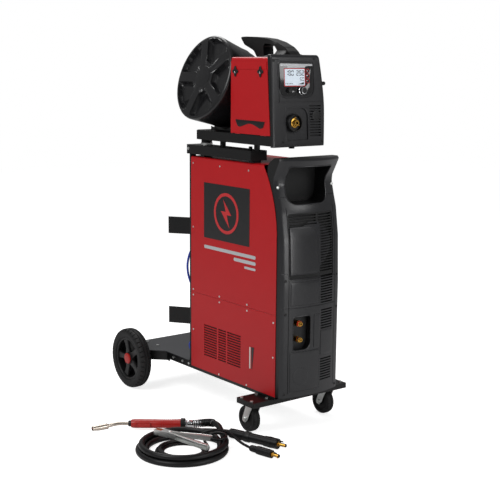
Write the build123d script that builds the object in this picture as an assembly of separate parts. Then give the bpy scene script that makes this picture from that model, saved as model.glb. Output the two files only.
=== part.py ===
"""Cart-mounted MIG welding machine with a swivelling wire feeder, its torch and its earth lead.

Frame: millimetres, +Z up, the machine's front faces -Y. The origin is on the floor, under the middle
of the machine's bounding box, which the torch and the earth lead beside it don't count in.
"""
from build123d import *
from math import acos, cos, degrees, pi, radians, sin
import os

# ---------------------------------------------------------------- driving dimensions
SHEET = 1.5                    # panel sheet
PLATE = 2.5                    # frame sheet
GAP = 0.3                      # free gap between pieces that move past each other
RUN = 0.05                     # radial clearance of a shaft in its bore

REAR_WHEEL_D = 250.0
REAR_WHEEL_W = 52.0
REAR_WHEEL_X = 239.0
REAR_WHEEL_Y = 389.0
RIM_D = 176.0
AXLE_R = 10.0

CASTER_D = 100.0
CASTER_W = 34.0
CASTER_X = 182.0
CASTER_SWIVEL_Y = -379.0
CASTER_TRAIL = 27.0
CASTER_BOLTS = (70.0, 60.0)

CROSS_TOP = 133.0              # top of the front cross plate
CROSS_HALF_W = 227.0
CROSS_Y = (-434.0, -332.0)
RAIL_TOP = 165.0
PLATFORM_REAR_Y = 464.0

CAB_HALF_W = 142.0
CAB_FRONT = -450.0
CAB_REAR = 86.0
CAB_BOTTOM = 145.5
CAB_TOP = 993.0
SEAM = 452.0                   # between the power source and the cooling unit

LEDGE_TOP = 1038.0             # top of the rail that carries the feeder
LEDGE_BOTTOM = 1002.0
LEDGE_X = (-155.0, -80.0)
PIVOT = (-105.0, 32.0)         # the feeder's swivel axis

FEEDER_X = (-150.0, 90.0)
FEEDER_MID = -30.0
FEEDER_BASE_Z = (1061.0, 1096.0)
FEEDER_TOP = 1373.0
FEEDER_REAR = -187.0
FACE_LOW = (-436.0, 1060.0)    # y, z of the front face's foot
FACE_HIGH = (-418.0, 1378.0)   # y, z of the front face's top
DOOR_TOP = 1329.0
LATCH_Z = 1318.0

WIRE_X = -55.0                 # the wire's line through the feeder
WIRE_Z = 1142.0

DRUM_R = 165.0
DRUM_CENTRE = (-156.0, -13.0, 1298.0)
DRUM_TILT = 18.0               # degrees that the drum's face looks up
SPOOL_R = 150.0

TORCH_CABLE_D = 22.0
EARTH_CABLE_D = 10.0
TORCH_COIL = (-506.0, -386.0)  # centre of the torch cable's coil on the floor
TORCH_COIL_R = (118.0, 172.0)
TORCH_COIL_H = 44.0
EARTH_COIL = (-510.0, -394.0)  # centre of the earth cable's coil, inside the torch's
EARTH_COIL_R = (64.0, 104.0)
EARTH_COIL_H = 20.0


# ---------------------------------------------------------------- small makers
def block(x, y, z):
    """A box between two x, two y and two z values."""
    size = [abs(b - a) for a, b in (x, y, z)]
    centre = [(a + b) / 2 for a, b in (x, y, z)]
    return Pos(*centre) * Box(*size)


def rod_x(x, y, z, r):
    """A round bar along X between two x values."""
    return Pos((x[0] + x[1]) / 2, y, z) * Rot(0, 90, 0) * Cylinder(r, abs(x[1] - x[0]))


def rod_y(x, y, z, r):
    """A round bar along Y between two y values."""
    return Pos(x, (y[0] + y[1]) / 2, z) * Rot(90, 0, 0) * Cylinder(r, abs(y[1] - y[0]))


def rod_z(x, y, z, r):
    """A round bar along Z between two z values."""
    return Pos(x, y, (z[0] + z[1]) / 2) * Cylinder(r, abs(z[1] - z[0]))


def prism_x(points, x):
    """An outline of y, z points carried along X between two x values."""
    face = make_face(Polyline([(x[0], p[0], p[1]) for p in points], close=True))
    return extrude(face, amount=abs(x[1] - x[0]), dir=(1, 0, 0))


def prism_z(points, z):
    """An outline of x, y points carried along Z between two z values."""
    face = make_face(Polyline([(p[0], p[1], z[0]) for p in points], close=True))
    return extrude(face, amount=abs(z[1] - z[0]), dir=(0, 0, 1))


def joined(pieces):
    """All the pieces fused into one."""
    whole = pieces[0]
    for piece in pieces[1:]:
        whole = whole + piece
    return whole


def apart(pieces):
    """Several solids kept apart in one node."""
    solids = []
    for piece in pieces:
        solids.extend(piece.solids())
    return Compound(children=solids)


def both_sides(piece):
    """The piece and its mirror image across the machine's middle."""
    return [piece, mirror(piece, about=Plane.YZ)]


def bolt_head(x, y, z, r=6.0, height=4.0):
    """A low round head that stands on a horizontal face at z."""
    return rod_z(x, y, (z, z + height), r)


# ---------------------------------------------------------------- cart
def base_frame():
    """Two channel rails on a folded cross plate, with the outriggers that carry the rear axle."""
    y = (-446.0, 272.0)
    rail = block((140 - PLATE, 140), y, (CROSS_TOP, RAIL_TOP))
    rail += block((112, 140), y, (CROSS_TOP, CROSS_TOP + PLATE))
    rail += block((112, 140), y, (RAIL_TOP - PLATE, RAIL_TOP))
    outrigger = prism_z([(136, 250), (140, 250), (140, 268), (202, 330), (202, 430), (198, 430),
                         (198, 332), (136, 270)], (CROSS_TOP - 8, RAIL_TOP))
    ear = block((198, 202), (352, 426), (104, RAIL_TOP))
    side = rail + outrigger + ear - rod_x((190, 210), REAR_WHEEL_Y, 125, AXLE_R + RUN)
    cross = block((-CROSS_HALF_W, CROSS_HALF_W), CROSS_Y, (CROSS_TOP - 20, CROSS_TOP))
    cross -= block((-CROSS_HALF_W + PLATE, CROSS_HALF_W - PLATE), (CROSS_Y[0] + PLATE, CROSS_Y[1] - PLATE),
                   (CROSS_TOP - 30, CROSS_TOP - PLATE))
    ties = [block((-138, 138), (yc - 20, yc + 20), (CROSS_TOP + PLATE, RAIL_TOP - PLATE)) for yc in (-390, -120, 60)]
    ties = [tie - block((-138, 138), (yc - 20 + PLATE, yc + 20 - PLATE), (CROSS_TOP - 5, RAIL_TOP - 2 * PLATE))
            for tie, yc in zip(ties, (-390, -120, 60))]
    return joined(both_sides(side) + [cross] + ties)


def rear_platform():
    """The folded tray behind the cabinet, which a gas bottle stands on."""
    outline = [(150, 92), (150, 266), (206, 322), (206, PLATFORM_REAR_Y)]
    outline = outline + [(-x, y) for x, y in reversed(outline)]
    tray = prism_z(outline, (RAIL_TOP, RAIL_TOP + 3))
    tray += block((-206, 206), (PLATFORM_REAR_Y - 3, PLATFORM_REAR_Y), (RAIL_TOP - 22, RAIL_TOP + 3))
    return tray


def rear_axle():
    """The rear wheels' fixed axle."""
    return rod_x((-258, 258), REAR_WHEEL_Y, 125, AXLE_R)


def tyre(side):
    """A solid rubber tyre with rounded shoulders."""
    x = (side * REAR_WHEEL_X - REAR_WHEEL_W / 2, side * REAR_WHEEL_X + REAR_WHEEL_W / 2)
    body = rod_x(x, REAR_WHEEL_Y, 125, REAR_WHEEL_D / 2)
    body = fillet(body.edges().filter_by(GeomType.CIRCLE), 14)
    return body - rod_x((x[0] - 1, x[1] + 1), REAR_WHEEL_Y, 125, RIM_D / 2)


def rim(side):
    """A rim with five spokes and a long hub that runs on the axle."""
    inner, outer = side * 217.0, side * 260.0
    barrel = rod_x((inner, outer), REAR_WHEEL_Y, 125, RIM_D / 2) - rod_x((inner, outer), REAR_WHEEL_Y, 125,
                                                                       RIM_D / 2 - 8)
    hub = rod_x((side * 208, side * 257), REAR_WHEEL_Y, 125, 27)
    spokes = []
    for k in range(5):
        turn = Pos(0, REAR_WHEEL_Y, 125) * Rot(72 * k, 0, 0)
        spokes.append(turn * block((side * 240, side * 254), (-15, 15), (20, RIM_D / 2 - 4)))
    whole = joined([barrel, hub] + spokes)
    return whole - rod_x((side * 200, side * 262), REAR_WHEEL_Y, 125, AXLE_R + RUN)


def hub_cap(side):
    """The domed cap over the axle's end."""
    cap = rod_x((side * 257, side * 264), REAR_WHEEL_Y, 125, 23)
    edge = cap.edges().filter_by(GeomType.CIRCLE).sort_by(Axis.X)[-1 if side > 0 else 0]
    cap = fillet(edge, 4)
    return cap - rod_x((side * 250, side * 259), REAR_WHEEL_Y, 125, AXLE_R + 2)


def caster_plates():
    """The top plates, bearing races and king pins of the two casters."""
    z = CROSS_TOP - PLATE
    x = (CASTER_X - 44, CASTER_X + 42)
    plate = block(x, (CASTER_SWIVEL_Y - 40, CASTER_SWIVEL_Y + 40), (z - 3, z))
    race = rod_z(CASTER_X, CASTER_SWIVEL_Y, (117, z - 3), 26)
    pin = rod_z(CASTER_X, CASTER_SWIVEL_Y, (104, 117), 6)
    return apart(both_sides(plate + race + pin))


def caster_fork(side):
    """A pressed fork that turns under its plate, and the bolt that carries the wheel."""
    wheel_y = CASTER_SWIVEL_Y + CASTER_TRAIL
    crown = rod_z(CASTER_X, CASTER_SWIVEL_Y, (106, 117 - GAP), 27)
    crown -= rod_z(CASTER_X, CASTER_SWIVEL_Y, (100, 120), 6 + RUN)
    leg = prism_x([(CASTER_SWIVEL_Y - 18, 112), (CASTER_SWIVEL_Y + 18, 112), (wheel_y + 15, 50),
                   (wheel_y, 36), (wheel_y - 15, 50)], (CASTER_X + 19, CASTER_X + 22))
    other = Pos(-41, 0, 0) * leg
    bolt = rod_x((CASTER_X - 27, CASTER_X + 27), wheel_y, 50, 5)
    bolt += rod_x((CASTER_X - 27, CASTER_X - 22), wheel_y, 50, 9)
    bolt += rod_x((CASTER_X + 22, CASTER_X + 27), wheel_y, 50, 9)
    fork = crown + leg + other - rod_x((CASTER_X - 30, CASTER_X + 30), wheel_y, 50, 5)
    both = [fork, bolt] if side > 0 else [mirror(fork, about=Plane.YZ), mirror(bolt, about=Plane.YZ)]
    return apart(both)


def caster_wheel(side):
    """A caster wheel with a hub that is wider than its tread."""
    wheel_y = CASTER_SWIVEL_Y + CASTER_TRAIL
    x = side * CASTER_X
    body = rod_x((x - CASTER_W / 2, x + CASTER_W / 2), wheel_y, 50, CASTER_D / 2)
    body = fillet(body.edges().filter_by(GeomType.CIRCLE), 6)
    dish = rod_x((x + 9, x + 20), wheel_y, 50, 36) + rod_x((x - 20, x - 9), wheel_y, 50, 36)
    hub = rod_x((x - 18, x + 18), wheel_y, 50, 13)
    return body - dish + hub - rod_x((x - 20, x + 20), wheel_y, 50, 5 + RUN)


def fasteners():
    """The bolts of the casters, rails, platform and rail post, and the panel screws."""
    heads = []
    dx, dy = CASTER_BOLTS[0] / 2, CASTER_BOLTS[1] / 2
    for side in (-1, 1):
        for sx in (-1, 1):
            for sy in (-1, 1):
                heads.append(bolt_head(side * CASTER_X + sx * dx, CASTER_SWIVEL_Y + sy * dy, CROSS_TOP))
        for y in (104, 150, 216):
            heads.append(rod_x((side * 140, side * 144), y, 149, 5))
        for y in (352, 430):
            heads.append(bolt_head(side * 132, y, RAIL_TOP + 3))
        for y, z in ((70, 966), (-106, 966), (-285, 965), (70, 714), (70, 463), (-106, 463), (-281, 463),
                     (70, 440), (-106, 440), (-281, 440), (-438, 424), (-438, 294), (70, 299), (-104, 152),
                     (-281, 152)):
            heads.append(rod_x((side * CAB_HALF_W, side * (CAB_HALF_W + 1.6)), y, z, 3.6))
    heads.append(rod_x((LEDGE_X[0] - 3, LEDGE_X[0]), 84, 1022, 6))
    return apart(heads)


# ---------------------------------------------------------------- cabinet
def cabinet_outline(grow=0.0):
    """The side view of the upper cabinet, whose front edge leans back in one long arc."""
    front_arc = ThreePointArc((0, -370 - grow, CAB_TOP + grow), (0, -421 - grow, 893),
                              (0, CAB_FRONT - grow, 745))
    edges = front_arc + Polyline((0, CAB_FRONT - grow, 745), (0, CAB_FRONT - grow, SEAM - grow + 0.5),
                                 (0, CAB_REAR + grow, SEAM - grow + 0.5), (0, CAB_REAR + grow, CAB_TOP + grow),
                                 (0, -370 - grow, CAB_TOP + grow))
    return make_face(edges)


def upper_prism(half_w, grow=0.0):
    """The upper cabinet's outline carried across its width."""
    return Pos(-half_w, 0, 0) * extrude(cabinet_outline(grow), amount=2 * half_w, dir=(1, 0, 0))


def top_cover():
    """The power source's cover: two sides and the top folded from one sheet."""
    shell = upper_prism(CAB_HALF_W)
    long_edges = shell.edges().filter_by(Axis.Y).group_by(Axis.Z)[-1]
    shell = fillet(long_edges, 8)
    hollow = block((-CAB_HALF_W + SHEET, CAB_HALF_W - SHEET), (-520, CAB_REAR + 10), (SEAM - 10, CAB_TOP - SHEET))
    hollow = fillet(hollow.edges().filter_by(Axis.Y).group_by(Axis.Z)[-1], 6.5)
    return shell - hollow


def cooler_panel(side):
    """A side panel of the cooling unit, with its louvres and its slot over the tank's level."""
    x = (side * (CAB_HALF_W - SHEET), side * CAB_HALF_W)
    panel = block(x, (CAB_FRONT, CAB_REAR), (CAB_BOTTOM, SEAM - 0.5))
    slots = []
    for y in ((-2.4, -88.5), (-98.4, -148.5), (-156.8, -242.0)):
        for row in range(13):
            z = 211.0 + 10.0 * row
            slots.append(block((side * 130, side * 150), y, (z - 2.6, z + 2.6)))
    slots.append(block((side * 130, side * 150), (-303, -296), (221, 304)))
    return panel - slots


def cabinet_chassis():
    """The cabinet's floor, shelf and rear wall."""
    floor = block((-139, 139), (-444, 84), (RAIL_TOP, RAIL_TOP + SHEET))
    shelf = block((-140.4, 140.4), (-444, 84), (SEAM - 4, SEAM - 4 + SHEET))
    rear = block((-140.4, 140.4), (84, CAB_REAR), (CAB_BOTTOM + 20, CAB_TOP - 2))
    rear = fillet(rear.edges().filter_by(Axis.Y).group_by(Axis.Z)[-1], 8)
    grille = []
    for row in range(-6, 7):
        half = (76 ** 2 - (11 * row) ** 2) ** 0.5
        for x in ((-half, -3), (3, half)):
            grille.append(block(x, (80, 90), (717.5 + 11 * row, 722.5 + 11 * row)))
    rear -= grille
    lip = block((-120, 120), (-444, -442), (RAIL_TOP, RAIL_TOP + 30))
    lip += block((-120, 120), (-444, -442), (SEAM - 34, SEAM - 4))
    return floor + shelf + rear + lip


CASING_LEVELS = (              # z, y of the front at the sides, how far the middle stands further out
    (145.5, -474.0, 24.0), (554.0, -476.0, 24.0), (729.0, -470.0, 24.0), (833.0, -455.0, 24.0),
    (879.0, -441.0, 25.0), (925.0, -429.0, 28.0), (950.0, -432.0, 34.0), (988.0, -452.0, 46.0),
    (1012.0, -464.0, 50.0), (1020.0, -460.0, 48.0))


def casing_body(half_w, back, inset=0.0, low=0, high=None):
    """The casing's outer form, lofted through plan sections with bowed fronts."""
    sections = []
    for z, side_y, bow in CASING_LEVELS[low:high]:
        front = ThreePointArc((-half_w, side_y + inset, z), (0, side_y - bow + inset, z), (half_w, side_y + inset, z))
        rest = Polyline((half_w, side_y + inset, z), (half_w, back, z), (-half_w, back, z),
                        (-half_w, side_y + inset, z))
        sections.append(make_face(front + rest))
    return loft(sections, ruled=True)


def front_casing():
    """The moulded front of the cabinet, with the handle bar over its hand pocket."""
    back = -380.0
    body = casing_body(140.0, back)
    pocket = block((-92, 92), (-560, -392), (868, 984)) + prism_x([(-560, 868), (-392, 868), (-412, 852),
                                                                  (-560, 852)], (-74, 74))
    bucket = (block((-96, 96), (-520, -388), (849, 988))) & body
    rear_cut = upper_prism(160.0, 0.4) + block((-160, 160), (CAB_FRONT - 0.4, -300), (100, SEAM + 50))
    rear_cut += prism_x([(-440, 1030), (-392, CAB_TOP + 0.4), (-300, CAB_TOP + 0.4), (-300, 1030)], (-160, 160))
    shell = body - rear_cut
    hollow = casing_body(136.0, back, 4.0, 0, 4)
    hollow = hollow & block((-136, 136), (-600, -300), (149.5, 820))
    recess = block((-89, -50), (-520, -484), (338, 424))
    recess += rod_y(-69.5, (-520, -484), 424, 19.5) + rod_y(-69.5, (-520, -484), 338, 19.5)
    bowl = block((-93, -46), (-497, -481), (334, 428)) + rod_y(-69.5, (-497, -481), 428, 23.5)
    bowl += rod_y(-69.5, (-497, -481), 334, 23.5)
    outer_trim = body - block((-200, 200), (-481, -300), (100, 800))
    shell = (shell - hollow) + (bowl & outer_trim) + bucket
    return shell - pocket - recess


def water_couplings():
    """The two coolant couplings in their recess."""
    pieces = []
    for z in (422.0, 363.0):
        body = rod_y(-69.5, (-508, -484), z, 7) + rod_y(-69.5, (-492, -484), z, 11)
        pieces.append(body - rod_y(-69.5, (-512, -496), z, 4))
    return apart(pieces)


def power_module():
    """The inverter's heat sink, transformer and capacitors, and the fan's motor on its bracket."""
    sink = block((-110, -100), (-330, 10), (520, 860))
    for k in range(9):
        z = 530 + 40 * k
        sink += block((-100, -60), (-330, 10), (z - 2, z + 2))
    core = block((-10, 90), (-260, -150), (SEAM - 4 + SHEET, 560))
    cans = [rod_z(40, y, (SEAM - 4 + SHEET, 560), 30) for y in (-70, 5)]
    bracket = block((-12, 12), (30, 38), (600, 760)) + block((-12, 12), (30, 84), (596, 600))
    motor = rod_y(0, (38, 49), 720, 20) + rod_y(0, (49, 66), 720, 4)
    return apart([sink, core, bracket + motor] + cans)


def cooling_fan():
    """The fan rotor behind the rear wall's upper half."""
    rotor = rod_y(0, (50, 76), 720, 24)
    for k in range(7):
        blade = block((18, 78), (-9, 9), (-2, 2))
        rotor += Pos(0, 63, 720) * Rot(0, 360 / 7 * k, 0) * Rot(28, 0, 0) * blade
    return rotor - rod_y(0, (40, 70), 720, 4 + RUN)


def cooling_unit():
    """The coolant tank, its pump and the radiator."""
    z = RAIL_TOP + SHEET
    tank = block((-138, -30), (-420, -230), (z, 330)) - block((-134, -34), (-416, -234), (z + 4, 326))
    tank -= rod_z(-84, -325, (320, 340), 18)
    pump = rod_y(60, (-330, -200), z + 55, 42) + block((20, 100), (-330, -200), (z, z + 16))
    radiator = block((-110, 110), (-60, -20), (z, 420))
    return apart([tank, pump, radiator])


def mains_switch():
    """The rotary mains switch on the rear wall."""
    knob = rod_y(70, (CAB_REAR + GAP, CAB_REAR + 12), 850, 22)
    return knob + block((65, 75), (CAB_REAR + 10, CAB_REAR + 26), (830, 870))


def bottle_brackets():
    """Two V-shaped cradles that a gas bottle leans in."""
    cradles = []
    for z in ((302, 370), (672, 740)):
        back = block((-72, 72), (CAB_REAR, CAB_REAR + 3), z)
        wing = prism_z([(72, CAB_REAR), (165, 214), (162.6, 215.8), (69.6, CAB_REAR + 3)], z)
        cradles.append(joined([back] + both_sides(wing)))
    return apart(cradles)


# ---------------------------------------------------------------- tubes and cords
def corner_radii(points):
    """The radius of each corner of a route: 0.45 of its shorter run over the tangent of half its turn."""
    radii = []
    vectors = [Vector(*b) - Vector(*a) for a, b in zip(points, points[1:])]
    for first, second in zip(vectors, vectors[1:]):
        turn = radians(first.get_angle(second))
        shorter = min(first.length, second.length)
        radii.append(0.45 * shorter * cos(turn / 2) / sin(turn / 2))
    return radii


def tube(points, diameter, name):
    """A round tube along straight runs joined by tangent arcs."""
    radii = corner_radii(points)
    path = FilletPolyline(*points, radius=radii)
    start = path % 0
    solid = sweep(Plane(origin=path @ 0, z_dir=start) * Circle(diameter / 2), path=path)
    expected = pi * diameter ** 2 / 4 * path.length
    print(f"{name}: length {path.length:.0f} mm, smallest radius {min(radii):.0f} mm,"
          f" volume ratio {solid.volume / expected:.4f}")
    return solid


LINK_CABLE = ((-104, 86, 640), (-104, 104, 640), (-108, 124, 622), (-116, 138, 590), (-121, 145, 550),
              (-118, 144, 508), (-110, 134, 470), (-104, 118, 445), (-104, 100, 434), (-104, 86, 434))
COOLANT_HOSE = ((-112, 86, 250), (-112, 102, 250), (-116, 122, 240), (-122, 130, 218), (-118, 122, 196),
                (-112, 102, 186), (-112, 86, 186))


def rear_leads():
    """The supply cable from the power source to the cooling unit, and a coolant hose."""
    return apart([tube(LINK_CABLE, 9, "link cable"), tube(COOLANT_HOSE, 9, "coolant hose")])


# ---------------------------------------------------------------- feeder support
def feeder_rail():
    """The channel rail on the cabinet's left edge and the post that carries it behind."""
    y = (-312.0, 96.0)
    rail = block(LEDGE_X, y, (LEDGE_BOTTOM, LEDGE_TOP))
    rail -= block((LEDGE_X[0] + 3, LEDGE_X[1] - 3), (y[0] + 3, y[1] - 3), (LEDGE_BOTTOM - 5, LEDGE_TOP - 3))
    post = block((-142, -118), (CAB_REAR, 96), (RAIL_TOP + 3, LEDGE_BOTTOM))
    pads = [block((-135, -95), (yc - 12, yc + 12), (CAB_TOP, LEDGE_TOP - 3)) for yc in (-285, 20)]
    stop = rod_z(-117, -262, (LEDGE_TOP, LEDGE_TOP + 12), 7)
    return joined([rail, post, stop] + pads)


def feeder_pivot():
    """The swivel's foot and pin."""
    foot = rod_z(*PIVOT, (LEDGE_TOP, LEDGE_TOP + 8), 23)
    return foot + rod_z(*PIVOT, (LEDGE_TOP + 8, 1080), 10)


def feeder_base():
    """The feeder's folded tray on its four feet, with the boss that turns on the pivot."""
    low, high = FEEDER_BASE_Z
    outline = [(-150, -420), (90, -420), (90, 60), (-125, 60), (-150, 36)]
    inner = [(-147, -417), (87, -417), (87, 57), (-124, 57), (-147, 35)]
    tray = prism_z(outline, (low, high)) - prism_z(inner, (low - 1, high - 3))
    boss = rod_z(*PIVOT, (LEDGE_TOP + 8 + GAP, high - 3), 21)
    feet = [rod_z(x, y, (LEDGE_TOP + GAP, high - 3), 11) for x in (-112, 52) for y in (-294, -84)]
    return joined([tray, boss] + feet) - rod_z(*PIVOT, (LEDGE_TOP, 1080 + GAP), 10 + RUN)


def feeder_shell():
    """The feeder's sheet case, open at the left for its door, with the wall between its halves."""
    side = [(FEEDER_REAR, 1096), (FEEDER_REAR, FEEDER_TOP), (-397, FEEDER_TOP), (-419, 1096)]
    inner = [(FEEDER_REAR - 2, 1090), (FEEDER_REAR - 2, FEEDER_TOP - 2), (-440, FEEDER_TOP - 2), (-440, 1090)]
    shell = prism_x(side, FEEDER_X)
    shell = fillet(shell.edges().filter_by(Axis.Y).group_by(Axis.Z)[-1], 10)
    hollow = prism_x(inner, (FEEDER_X[0] + 2, FEEDER_X[1] - 2))
    hollow = fillet(hollow.edges().filter_by(Axis.Y).group_by(Axis.Z)[-1], 8)
    doorway = block((-160, -147), (-460, -195), (1090, DOOR_TOP))
    wall = block((-42, -40), (-397, FEEDER_REAR - 2), (1096, FEEDER_TOP - 2))
    wall -= rod_x((-50, -30), ROLL_Y, WIRE_Z - ROLL_R - 0.5, 18.5)
    inlet = rod_y(WIRE_X, (-200, -180), WIRE_Z, 14)
    strip = block((-152.3, FEEDER_X[0]), (-395, FEEDER_REAR), (DOOR_TOP + GAP, 1358))
    return shell - hollow - doorway + wall + strip - inlet


def feeder_door():
    """The side door, hinged along its foot, with the finger grip near it."""
    foot = 1098.3 - GAP
    outer = [(FEEDER_REAR, foot), (FEEDER_REAR, DOOR_TOP - GAP), (-400, DOOR_TOP - GAP), (-418.4, foot)]
    door = prism_x(outer, (-152.3, -150.3))
    grip = prism_x([(-214, 1149), (-392, 1147), (-380, 1124), (-362, 1120), (-304, 1139), (-246, 1122),
                    (-230, 1124)], (-153.3, -152.3))
    knuckles = [rod_y(-151.3, (yc - 15, yc + 15), 1098.3, 2) for yc in (-230, -380)]
    return joined([door, grip] + knuckles)


def door_latch(y):
    """A turning latch on the door, whose tongue reaches over the strip above it."""
    knob = rod_x((-158, -152.3 - GAP), y, LATCH_Z, 10)
    return knob + block((-156, -152.3 - GAP), (y - 9, y + 9), (LATCH_Z - 12, LATCH_Z + 20))


FACE_TILT = degrees(acos((FACE_HIGH[1] - FACE_LOW[1])
                         / ((FACE_HIGH[0] - FACE_LOW[0]) ** 2 + (FACE_HIGH[1] - FACE_LOW[1]) ** 2) ** 0.5))


def on_face(x, z, piece):
    """Set a piece, drawn with its back at the origin and its front along +Z, on the feeder's face."""
    share = (z - FACE_LOW[1]) / (FACE_HIGH[1] - FACE_LOW[1])
    y = FACE_LOW[0] + share * (FACE_HIGH[0] - FACE_LOW[0])
    return Pos(x, y, z) * Rot(90 - FACE_TILT, 0, 0) * piece


def feeder_bezel():
    """The moulded front of the feeder, with the recess of the torch socket."""
    side = [(-420, 1057), (-432, 1057), FACE_LOW, FACE_HIGH, (-412, 1382), (-397.2, 1382), (-397.2, 1373),
            (-419.4, 1096), (-420, 1096)]
    bezel = prism_x(side, (FEEDER_X[0], FEEDER_X[1] + 4))
    hollow = prism_x([(-300, 1100), (-431, 1100), (-414, 1368), (-300, 1368)], (-144, 84))
    bezel -= hollow
    recess = on_face(-42, 1138, Box(104, 116, 8))
    pad = on_face(-42, 1138, Pos(0, 0, -6.5) * Box(112, 124, 5))
    wells = [on_face(x, z, Cylinder(r, 30)) for x, z, r in PANEL_WELLS]
    return bezel + pad - recess - on_face(WIRE_X, WIRE_Z, Cylinder(25, 60)) - wells


PANEL_WELLS = ((14, 1325, 5), (14, 1307, 5), (14, 1289, 5), (-14, 1256, 6), (-74, 1256, 6))


def display_panel():
    """The gloss panel that holds the screen, with wells for its knobs and buttons."""
    wells = [on_face(x, z, Cylinder(r, 12)) for x, z, r in PANEL_WELLS]
    return on_face(-38, 1294, Pos(0, 0, 1) * Box(158, 118, 2)) - wells


def push_button(well):
    """A small round key that travels into its well."""
    x, z, r = PANEL_WELLS[well]
    return on_face(x, z, Pos(0, 0, 1.5) * Cylinder(r - GAP, 6))


def setting_knob(well, radius, height):
    """A round knob on a short shaft in its well."""
    x, z, r = PANEL_WELLS[well]
    cap = Pos(0, 0, 2 + GAP + height / 2) * Cylinder(radius, height)
    return on_face(x, z, cap + Pos(0, 0, 0) * Cylinder(r - GAP, 6))


def torch_socket():
    """The torch's socket: a black flange with a brass core, bored for the torch's pin."""
    ring = on_face(WIRE_X, WIRE_Z, Pos(0, 0, 5.5) * Cylinder(33, 19) + Pos(0, 0, -14) * Cylinder(24.5, 20))
    core = on_face(WIRE_X, WIRE_Z, Pos(0, 0, 2) * Cylinder(15, 36))
    bore = on_face(WIRE_X, WIRE_Z, Pos(0, 0, 11) * Cylinder(26, 12))
    return ring - bore + core - on_face(WIRE_X, WIRE_Z, Cylinder(5, 80))


def feeder_handle():
    """The arched handle, from its rear tip down to the bezel."""
    back = Spline((0, -114, 1446), (0, -250, 1437), (0, -345, 1424), (0, -397, 1400), (0, -412, 1382.2))
    under = Polyline((0, -412, 1382.2), (0, -397, 1382.2), (0, -397, 1373), (0, -292, 1373), (0, -290, 1398),
                     (0, -262, 1418), (0, -224, 1416), (0, -236, 1373), (0, -190, 1373), (0, -186, 1392),
                     (0, -128, 1404), (0, -124, 1426), (0, -114, 1446))
    solid = Pos(-62, 0, 0) * extrude(make_face(back + under), amount=64, dir=(1, 0, 0))
    flare = prism_x([(-397, 1373), (-300, 1373), (-345, 1410), (-397, 1392)], (-100, 40))
    return solid + flare


# ---------------------------------------------------------------- spool drum
DRUM = Pos(*DRUM_CENTRE) * Rot(0, 90 + DRUM_TILT, 0)


def in_drum(depth, radius, inner=0.0):
    """A disc or ring about the drum's axis, between two depths behind its face."""
    ring = Pos(0, 0, (depth[0] + depth[1]) / 2) * Cylinder(radius, depth[1] - depth[0])
    if inner:
        ring -= Pos(0, 0, (depth[0] + depth[1]) / 2) * Cylinder(inner, depth[1] - depth[0] + 2)
    return DRUM * ring


def spool_cover():
    """The lift-off drum over the wire spool: a face with a raised star and a tapered wall."""
    half = DRUM_R
    outline = Polyline((0, 0, 0), (half - 6, 0, 0), (half, 0, 6), (156, 0, 132), (153, 0, 132), (half - 5, 0, 9),
                       (half - 8, 0, 4), (0, 0, 4), (0, 0, 0))
    drum = revolve(make_face(outline), Axis.Z)
    arms = []
    for k in range(5):
        arm = Pos(82, 0, 1.5) * Box(130, 46, 5)
        arms.append(Rot(0, 0, 72 * k + 18) * arm)
    star = joined(arms) & (Pos(0, 0, 2) * Cylinder(half - 9, 8))
    return DRUM * (drum + star + Pos(0, 0, 1.5) * Cylinder(62, 5))


def spool_housing():
    """The rear pan behind the spool, its pedestal on the base and the braked hub."""
    pan = in_drum((132.5, 160), 152) - in_drum((131, 154), 148)
    hub = in_drum((40, 158), 25)
    pedestal = block((-72, 40), (-85, 50), (FEEDER_BASE_Z[1], 1170))
    pedestal -= in_drum((-60, 154), 166)
    neck = block((6, 30), (-187, -120), (1180, 1290)) - in_drum((-60, 154), 166)
    return joined([pan, hub, pedestal, neck])


def wire_spool():
    """The spool of wire on the hub."""
    flanges = in_drum((24, 28), SPOOL_R, 25 + RUN) + in_drum((118, 122), SPOOL_R, 25 + RUN)
    barrel = in_drum((24, 122), 60, 25 + RUN)
    wire = in_drum((28, 118), 128, 60)
    return apart([flanges + barrel, wire])


# ---------------------------------------------------------------- wire drive
ROLL_R = 19.5
ROLL_Y = -320.0


def wire_drive():
    """The drive's cast plate, its motor and the two wire guides."""
    plate = block((-50, -42), (-385, -215), (1100, 1240))
    plate += rod_x((-42, 60), ROLL_Y, WIRE_Z - ROLL_R - 0.5, 18)
    spindle = rod_x((-70, -50), ROLL_Y, WIRE_Z - ROLL_R - 0.5, 6)
    pivot = rod_x((-72, -50), -232, 1190, 5)
    guides = [rod_y(WIRE_X - 6, y, WIRE_Z, 4) + block((-62, -50), y, (WIRE_Z - 12, WIRE_Z)) for y in
              ((-385, -345), (-290, -230))]
    return joined([plate, spindle, pivot] + guides)


def drive_roll():
    """The grooved roll that pushes the wire."""
    z = WIRE_Z - ROLL_R - 0.5
    return rod_x((-69, -53), ROLL_Y, z, ROLL_R) - rod_x((-75, -50), ROLL_Y, z, 6 + RUN)


def pressure_arm():
    """The arm that presses the wire on the roll, with its counter roll."""
    arm = prism_x([(-224, 1182), (-224, 1198), (-350, 1192), (-350, 1176)], (-70, -58))
    roll = rod_x((-68, -60), ROLL_Y, WIRE_Z + ROLL_R + 0.5, ROLL_R)
    return arm + roll - rod_x((-80, -50), -232, 1190, 5 + RUN)


# ---------------------------------------------------------------- torch and earth lead
TORCH_AT = (-528.0, -76.0, 22.0)
TORCH_TURN = -37.4             # degrees from +X to the handle's length


def lay_torch(piece):
    """Move a piece drawn along +X from the handle's front end to where the torch lies."""
    return Pos(*TORCH_AT) * Rot(0, 0, TORCH_TURN) * piece


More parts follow.
